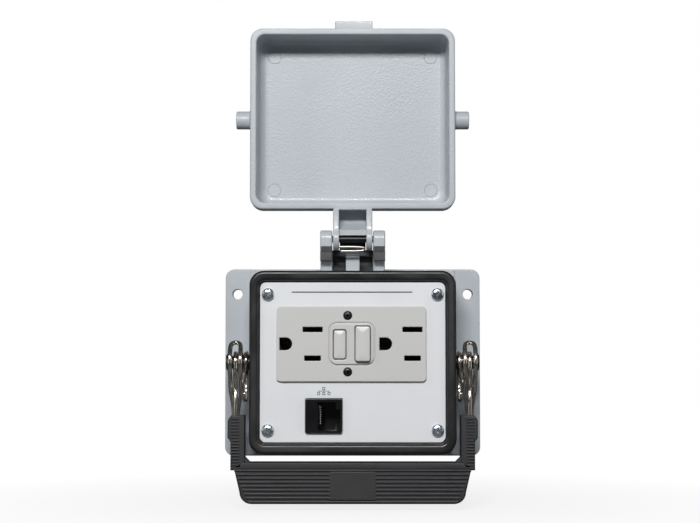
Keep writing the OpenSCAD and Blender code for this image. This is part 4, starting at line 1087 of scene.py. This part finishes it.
for side, name in ((-1, "left"), (1, "right")):
    strand = bmesh.new()
    for path in (hook_wire(), bow_wire()):
        tube(strand, [(side * x, y, z) for x, y, z in path], wire_r)
    piece(f"lever_strand_{name}", strand, stainless, "lever",
          [f"lever_wire_{name}"], 60)
    pin_low, pin_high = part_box(f"pivot_pin_{name}")
    tip = pin_high.x if side > 0 else -pin_low.x
    root = pin_low.x if side > 0 else -pin_high.x
    pin = bmesh.new()
    turned(pin, [(r * mm, side * along) for r, along in (
        (0, root), (1.5, root), (1.7, root + 0.2 * mm), (1.7, shell_w / 2 - 0.1 * mm),
        (3.0, shell_w / 2), (3.0, tip - 0.8 * mm), (3.6, tip - 0.75 * mm),
        (3.6, tip - 0.35 * mm), (3.35, tip - 0.1 * mm), (2.8, tip - 0.02 * mm), (1.6, tip),
        (1.3, tip - 0.25 * mm), (0, tip - 0.25 * mm))], (0, pivot.y, pivot.z), "x", 36)
    piece(f"pivot_stud_{name}", pin, black_coat, "housing", [f"pivot_pin_{name}"])


# ---- Lever grip ----------------------------------------------------------------------------
# Black glass-filled nylon: two side arms that hold the wires' legs, a cross bar with ribs for
# the fingers and a plain pad in its middle. The ribs are set in rows by a node tree.

grip_plastic = grained("grip_plastic", (0.022, 0.022, 0.024), 0.5, grain=2000,
                       depth=0.05 * mm, mottle=0.12, uneven=0.06)
grip_in, grip_out = shell_w / 2 + 2.1 * mm, leg_x + 2.1 * mm
grip_front, grip_back = grip_low.y, grip_high.y
bar_z = -43.9 * mm
grip_bottom = grip_low.z
skin = 0.55 * mm


def rib_tree():
    """Node tree that sets ribs one below another, each with its own length by its height."""
    tree = bpy.data.node_groups.new("rib_row", "GeometryNodeTree")
    kinds = {"Rib": "NodeSocketObject", "Count": "NodeSocketInt", "Start": "NodeSocketVector",
             "Step": "NodeSocketVector", "First length": "NodeSocketFloat",
             "Last length": "NodeSocketFloat", "Finish": "NodeSocketMaterial"}
    tree.interface.new_socket("Geometry", in_out="INPUT", socket_type="NodeSocketGeometry")
    for name, kind in kinds.items():
        tree.interface.new_socket(name, in_out="INPUT", socket_type=kind)
    tree.interface.new_socket("Geometry", in_out="OUTPUT", socket_type="NodeSocketGeometry")
    add, join = tree.nodes.new, tree.links.new
    inlet, outlet = add("NodeGroupInput"), add("NodeGroupOutput")
    row = added(tree, "GeometryNodeMeshLine", mode="OFFSET")
    part = add("GeometryNodeObjectInfo")
    index = add("GeometryNodeInputIndex")
    last = added(tree, "ShaderNodeMath", {1: 1}, operation="SUBTRACT")
    length = add("ShaderNodeMapRange")
    size = added(tree, "ShaderNodeCombineXYZ", {"Y": 1, "Z": 1})
    spread = add("GeometryNodeInstanceOnPoints")
    real = add("GeometryNodeRealizeInstances")
    finish = add("GeometryNodeSetMaterial")
    join(inlet.outputs["Count"], row.inputs["Count"])
    join(inlet.outputs["Start"], row.inputs["Start Location"])
    join(inlet.outputs["Step"], row.inputs["Offset"])
    join(row.outputs["Mesh"], spread.inputs["Points"])
    join(inlet.outputs["Rib"], part.inputs["Object"])
    join(part.outputs["Geometry"], spread.inputs["Instance"])
    join(index.outputs["Index"], length.inputs["Value"])
    join(inlet.outputs["Count"], last.inputs[0])
    join(last.outputs["Value"], length.inputs["From Max"])
    join(inlet.outputs["First length"], length.inputs["To Min"])
    join(inlet.outputs["Last length"], length.inputs["To Max"])
    join(length.outputs["Result"], size.inputs["X"])
    join(size.outputs["Vector"], spread.inputs["Scale"])
    join(spread.outputs["Instances"], real.inputs["Geometry"])
    join(real.outputs["Geometry"], finish.inputs["Geometry"])
    join(inlet.outputs["Finish"], finish.inputs["Material"])
    join(finish.outputs["Geometry"], outlet.inputs["Geometry"])
    return tree


def rib(height, depth):
    """Rib of unit length along X with a rounded front, at the origin."""
    bm = bmesh.new()
    section = [(depth, -height / 2), (0.35 * depth, -height / 2)]
    section += [(0.35 * depth - 0.35 * depth * math.sin(a), -height / 2 * math.cos(a))
                for a in (math.radians(180 * i / 8) for i in range(1, 8))]
    section += [(0.35 * depth, height / 2), (depth, height / 2)]
    loft(bm, [[(x, y, z) for y, z in section] for x in (-0.5, 0.5)])
    bmesh.ops.recalc_face_normals(bm, faces=bm.faces)
    mesh = bpy.data.meshes.new("rib")
    bm.to_mesh(mesh)
    bm.free()
    return holder_of(mesh, "rib")


rib_row = rib_tree()
grip = bmesh.new()
for side in (-1, 1):
    arm = [(grip_in, bar_z - 3.6 * mm), (grip_out, bar_z - 3.6 * mm),
           (grip_out, grip_top - 11.5 * mm), (grip_out + 1.3 * mm, grip_top - 10 * mm),
           (grip_out + 1.3 * mm, grip_top - 2.4 * mm), (grip_out + 0.6 * mm, grip_top - 1.1 * mm),
           (grip_out - 0.4 * mm, grip_top), (grip_in, grip_top)]
    arm = [(side * x, z) for x, z in arm]
    sheet(grip, [arm], grip_front + skin, grip_back, 0.6 * mm, steps=3)
    gusset = [(side * x, z) for x, z in (
        (grip_in + 1 * mm, bar_z + 3 * mm), (grip_in - 2 * mm, bar_z + 0.05 * mm),
        (grip_in - 2 * mm, bar_z - 1 * mm), (grip_in + 1 * mm, bar_z - 1 * mm))]
    sheet(grip, [gusset], grip_front + 1.2 * mm, grip_back - 0.6 * mm, 0.3 * mm)
corner_r = 5.2 * mm
bar_top_x, bar_low_x = grip_out - 0.9 * mm, grip_out - 4 * mm
bar_half = [(bar_top_x, bar_z), (bar_low_x, grip_bottom + corner_r)]
bar_half += [(bar_low_x - corner_r + corner_r * math.cos(a),
              grip_bottom + corner_r - corner_r * math.sin(a))
             for a in (math.radians(15 * i) for i in range(1, 7))]
bar_outline = [(-x, z) for x, z in bar_half] + [(x, z) for x, z in reversed(bar_half)]
sheet(grip, [bar_outline], grip_front + skin, grip_back, 1.1 * mm, steps=4)
pad = rounded(20.6 * mm, 12.5 * mm, 0.6 * mm, 0, bar_z - 10.4 * mm, 4)
sheet(grip, [pad], grip_front + 0.02 * mm, grip_front + 2 * mm, 0.25 * mm)
# Plain lip along the bar's upper front edge
sheet(grip, [[(-bar_top_x + 2.4 * mm, bar_z - 3 * mm), (-bar_top_x + 4.4 * mm, bar_z - 0.4 * mm),
              (bar_top_x - 4.4 * mm, bar_z - 0.4 * mm), (bar_top_x - 2.4 * mm, bar_z - 3 * mm)]],
      grip_front + 0.25 * mm, grip_front + 2 * mm, 0.3 * mm)
piece("nylon_grip", grip, grip_plastic, "lever", ["lever_grip"])

bar_rib = rib(1.15 * mm, 1.5 * mm)
bar_ribs = grown("bar_ribs_mesh", rib_row, {
    "Rib": bar_rib, "Count": 9, "Start": (0.0, grip_front, bar_z - 3.6 * mm),
    "Step": (0.0, 0.0, -1.72 * mm), "First length": 2 * bar_top_x - 1.8 * mm,
    "Last length": 2 * bar_low_x - 7.5 * mm, "Finish": grip_plastic})
bpy.data.objects.remove(bar_rib)
settle("bar_ribs", bar_ribs, grip_plastic, "lever")
arm_rib = rib(0.85 * mm, 1.4 * mm)
for side, name in ((-1, "left"), (1, "right")):
    arm_ribs = grown("arm_ribs_mesh", rib_row, {
        "Rib": arm_rib, "Count": 17, "Start": (side * (leg_x + 0.1 * mm), grip_front,
                                               grip_top - 1.6 * mm),
        "Step": (0.0, 0.0, -1.35 * mm), "First length": 3.3 * mm, "Last length": 3.7 * mm,
        "Finish": grip_plastic})
    settle(f"arm_ribs_{name}", arm_ribs, grip_plastic, "lever")
bpy.data.objects.remove(arm_rib)


# ---- Hinge pin and cover spring ------------------------------------------------------------
# The pin is black-oxide steel, pressed in the ears. The spring is a bright wire clip in the
# arm's cheeks that snaps over the housing's middle rib as the cover turns.

oxide = grained("black_oxide", (0.03, 0.03, 0.032), 0.4, grain=2500, depth=0.02 * mm,
                mottle=0.2, metallic=0.8)
pin = bmesh.new()
pin_end = 13.95 * mm
turned(pin, [(0, -pin_end), (1.2 * mm, -pin_end), (1.5 * mm, -pin_end + 0.3 * mm),
             (1.5 * mm, pin_end - 0.3 * mm), (1.2 * mm, pin_end), (0, pin_end)],
       hinge, "x", 24)
piece("hinge_rod", pin, oxide, "housing", ["hinge_pin"])
# A black pad on the root, a guess, which closes the view through the window behind the pin; its black
# is painted shade for the dark hollow there.
shade_block = bmesh.new()
block(shade_block, (-5.8 * mm, 5.8 * mm), (hinge.y + 7.8 * mm, hinge.y + 10.5 * mm),
      (hinge.z - 4.6 * mm, hinge.z + 3 * mm), 0.5 * mm)
piece("hinge_stop_pad", shade_block, rubber, "housing")
spring_wire = grained("spring_wire", (0.5, 0.49, 0.47), 0.42, grain=900, depth=0.01 * mm,
                      mottle=0.1, metallic=1.0)
spring = bmesh.new()
bar_y, bar_level = hinge.y - 2.2 * mm, hinge.z - 3.6 * mm
loop_y, loop_level = hinge.y - 1.8 * mm, hinge.z - 5.4 * mm
tube(spring, eased([(-6.9 * mm, bar_y, bar_level), (4.5 * mm, bar_y, bar_level),
                    (5.4 * mm, (bar_y + loop_y) / 2, (bar_level + loop_level) / 2),
                    (4.6 * mm, loop_y, loop_level), (-5.2 * mm, loop_y, loop_level)], 3), 0.58 * mm, 12)
piece("cover_wire_spring", spring, spring_wire, "cover", ["lid_spring"], 60)


# ---- Springs behind the buttons and in the solenoid ----------------------------------------
# Small compression springs of music wire. Each is a helix.

def coil(name, node, axis, turns, wire):
    low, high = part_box(node)
    centre = (low + high) / 2
    along = 1 if axis == "y" else 0
    mean = (high.z - low.z) / 2 - wire
    length = high[along] - low[along] - 2 * wire
    path = []
    steps = 20 * turns
    for i in range(steps + 1):
        s = i / steps
        a = 2 * math.pi * turns * s
        point = Vector(centre)
        point.z += mean * math.sin(a)
        point[1 - along] += mean * math.cos(a)
        point[along] += length * (s - 0.5)
        path.append(point)
    bm = bmesh.new()
    tube(bm, path, wire, 8)
    made = piece(name, bm, stainless, "housing", [node], 60)
    anchor = Vector(centre)
    anchor[along] = high[along]
    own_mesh(made)


coil("test_coil", "test_spring", "y", 6, 0.25 * mm)
coil("reset_coil", "reset_spring", "y", 6, 0.25 * mm)
coil("plunger_coil", "plunger_spring", "x", 5, 0.2 * mm)


# ---- Works behind the faceplate ------------------------------------------------------------
# The outlet's case, strap, contacts, board, coils and screws keep their CAD shapes. Their mesh
# is welded and its edges are broken a little by modifiers, and each gets its own finish.

# Case plastic, galvanised strip and brass carry painted shade through deep: darker inside the case and
# the slots
case_plastic = grained("case_plastic", (0.66, 0.66, 0.63), 0.42, grain=1500, depth=0.03 * mm,
                       mottle=0.02, deep=12 * mm)
strip_zinc = grained("galvanised_strip", (0.55, 0.56, 0.55), 0.35, grain=700, depth=0.03 * mm,
                     mottle=0.16, uneven=0.12, waves=250, stretch=0.3, deep=8 * mm,
                     metallic=1.0)
brass = grained("brass", (0.74, 0.52, 0.2), 0.26, grain=1800, depth=0.02 * mm, mottle=0.1,
                stretch=0.3, deep=12 * mm, metallic=1.0)
green_coat = grained("green_screw_coat", (0.03, 0.26, 0.08), 0.3, grain=2500, depth=0.02 * mm,
                     mottle=0.1, metallic=0.6)
solder_mask = grained("solder_mask", (0.015, 0.13, 0.05), 0.28, grain=1200, depth=0.02 * mm,
                      mottle=0.15, coat=0.3)
winding = grained("enamelled_winding", (0.42, 0.16, 0.05), 0.3, grain=3000, depth=0.12 * mm,
                  mottle=0.12, stretch=0.05, metallic=0.7)
clip_plastic = grained("clip_plastic", (0.02, 0.02, 0.022), 0.45, grain=1800, depth=0.03 * mm,
                       mottle=0.15)
works = {
    "outlet_strap": (strip_zinc, 0.15), "outlet_case": (case_plastic, 0.35),
    "case_screws": (zinc, 0.12), "contact_carrier": (case_plastic, 0.1),
    "neutral_contacts": (brass, 0.08), "hot_contacts": (brass, 0.08),
    "ground_contacts": (brass, 0.08), "neutral_terminals": (zinc, 0.2),
    "hot_terminals": (brass, 0.2), "ground_terminal": (green_coat, 0.2),
    "circuit_board": (solder_mask, 0.05), "sense_coils": (winding, 0.0),
    "trip_solenoid": (winding, 0.2), "solenoid_frame": (strip_zinc, 0.1),
    "solenoid_plunger": (zinc, 0.15), "reset_stem": (strip_zinc, 0.1),
    "jack_clip": (clip_plastic, 0.2)}
for node, (finish, broken_edge) in works.items():
    part = nodes[node]
    for material_slot in part.material_slots:
        material_slot.material = finish
    if broken_edge:
        weld = part.modifiers.new("weld", "WELD")
        weld.merge_threshold = 0.002 * mm
        bevel = part.modifiers.new("broken_edge", "BEVEL")
        bevel.width = broken_edge * mm
        bevel.segments = 2
        bevel.limit_method = "ANGLE"
        bevel.angle_limit = math.radians(40)
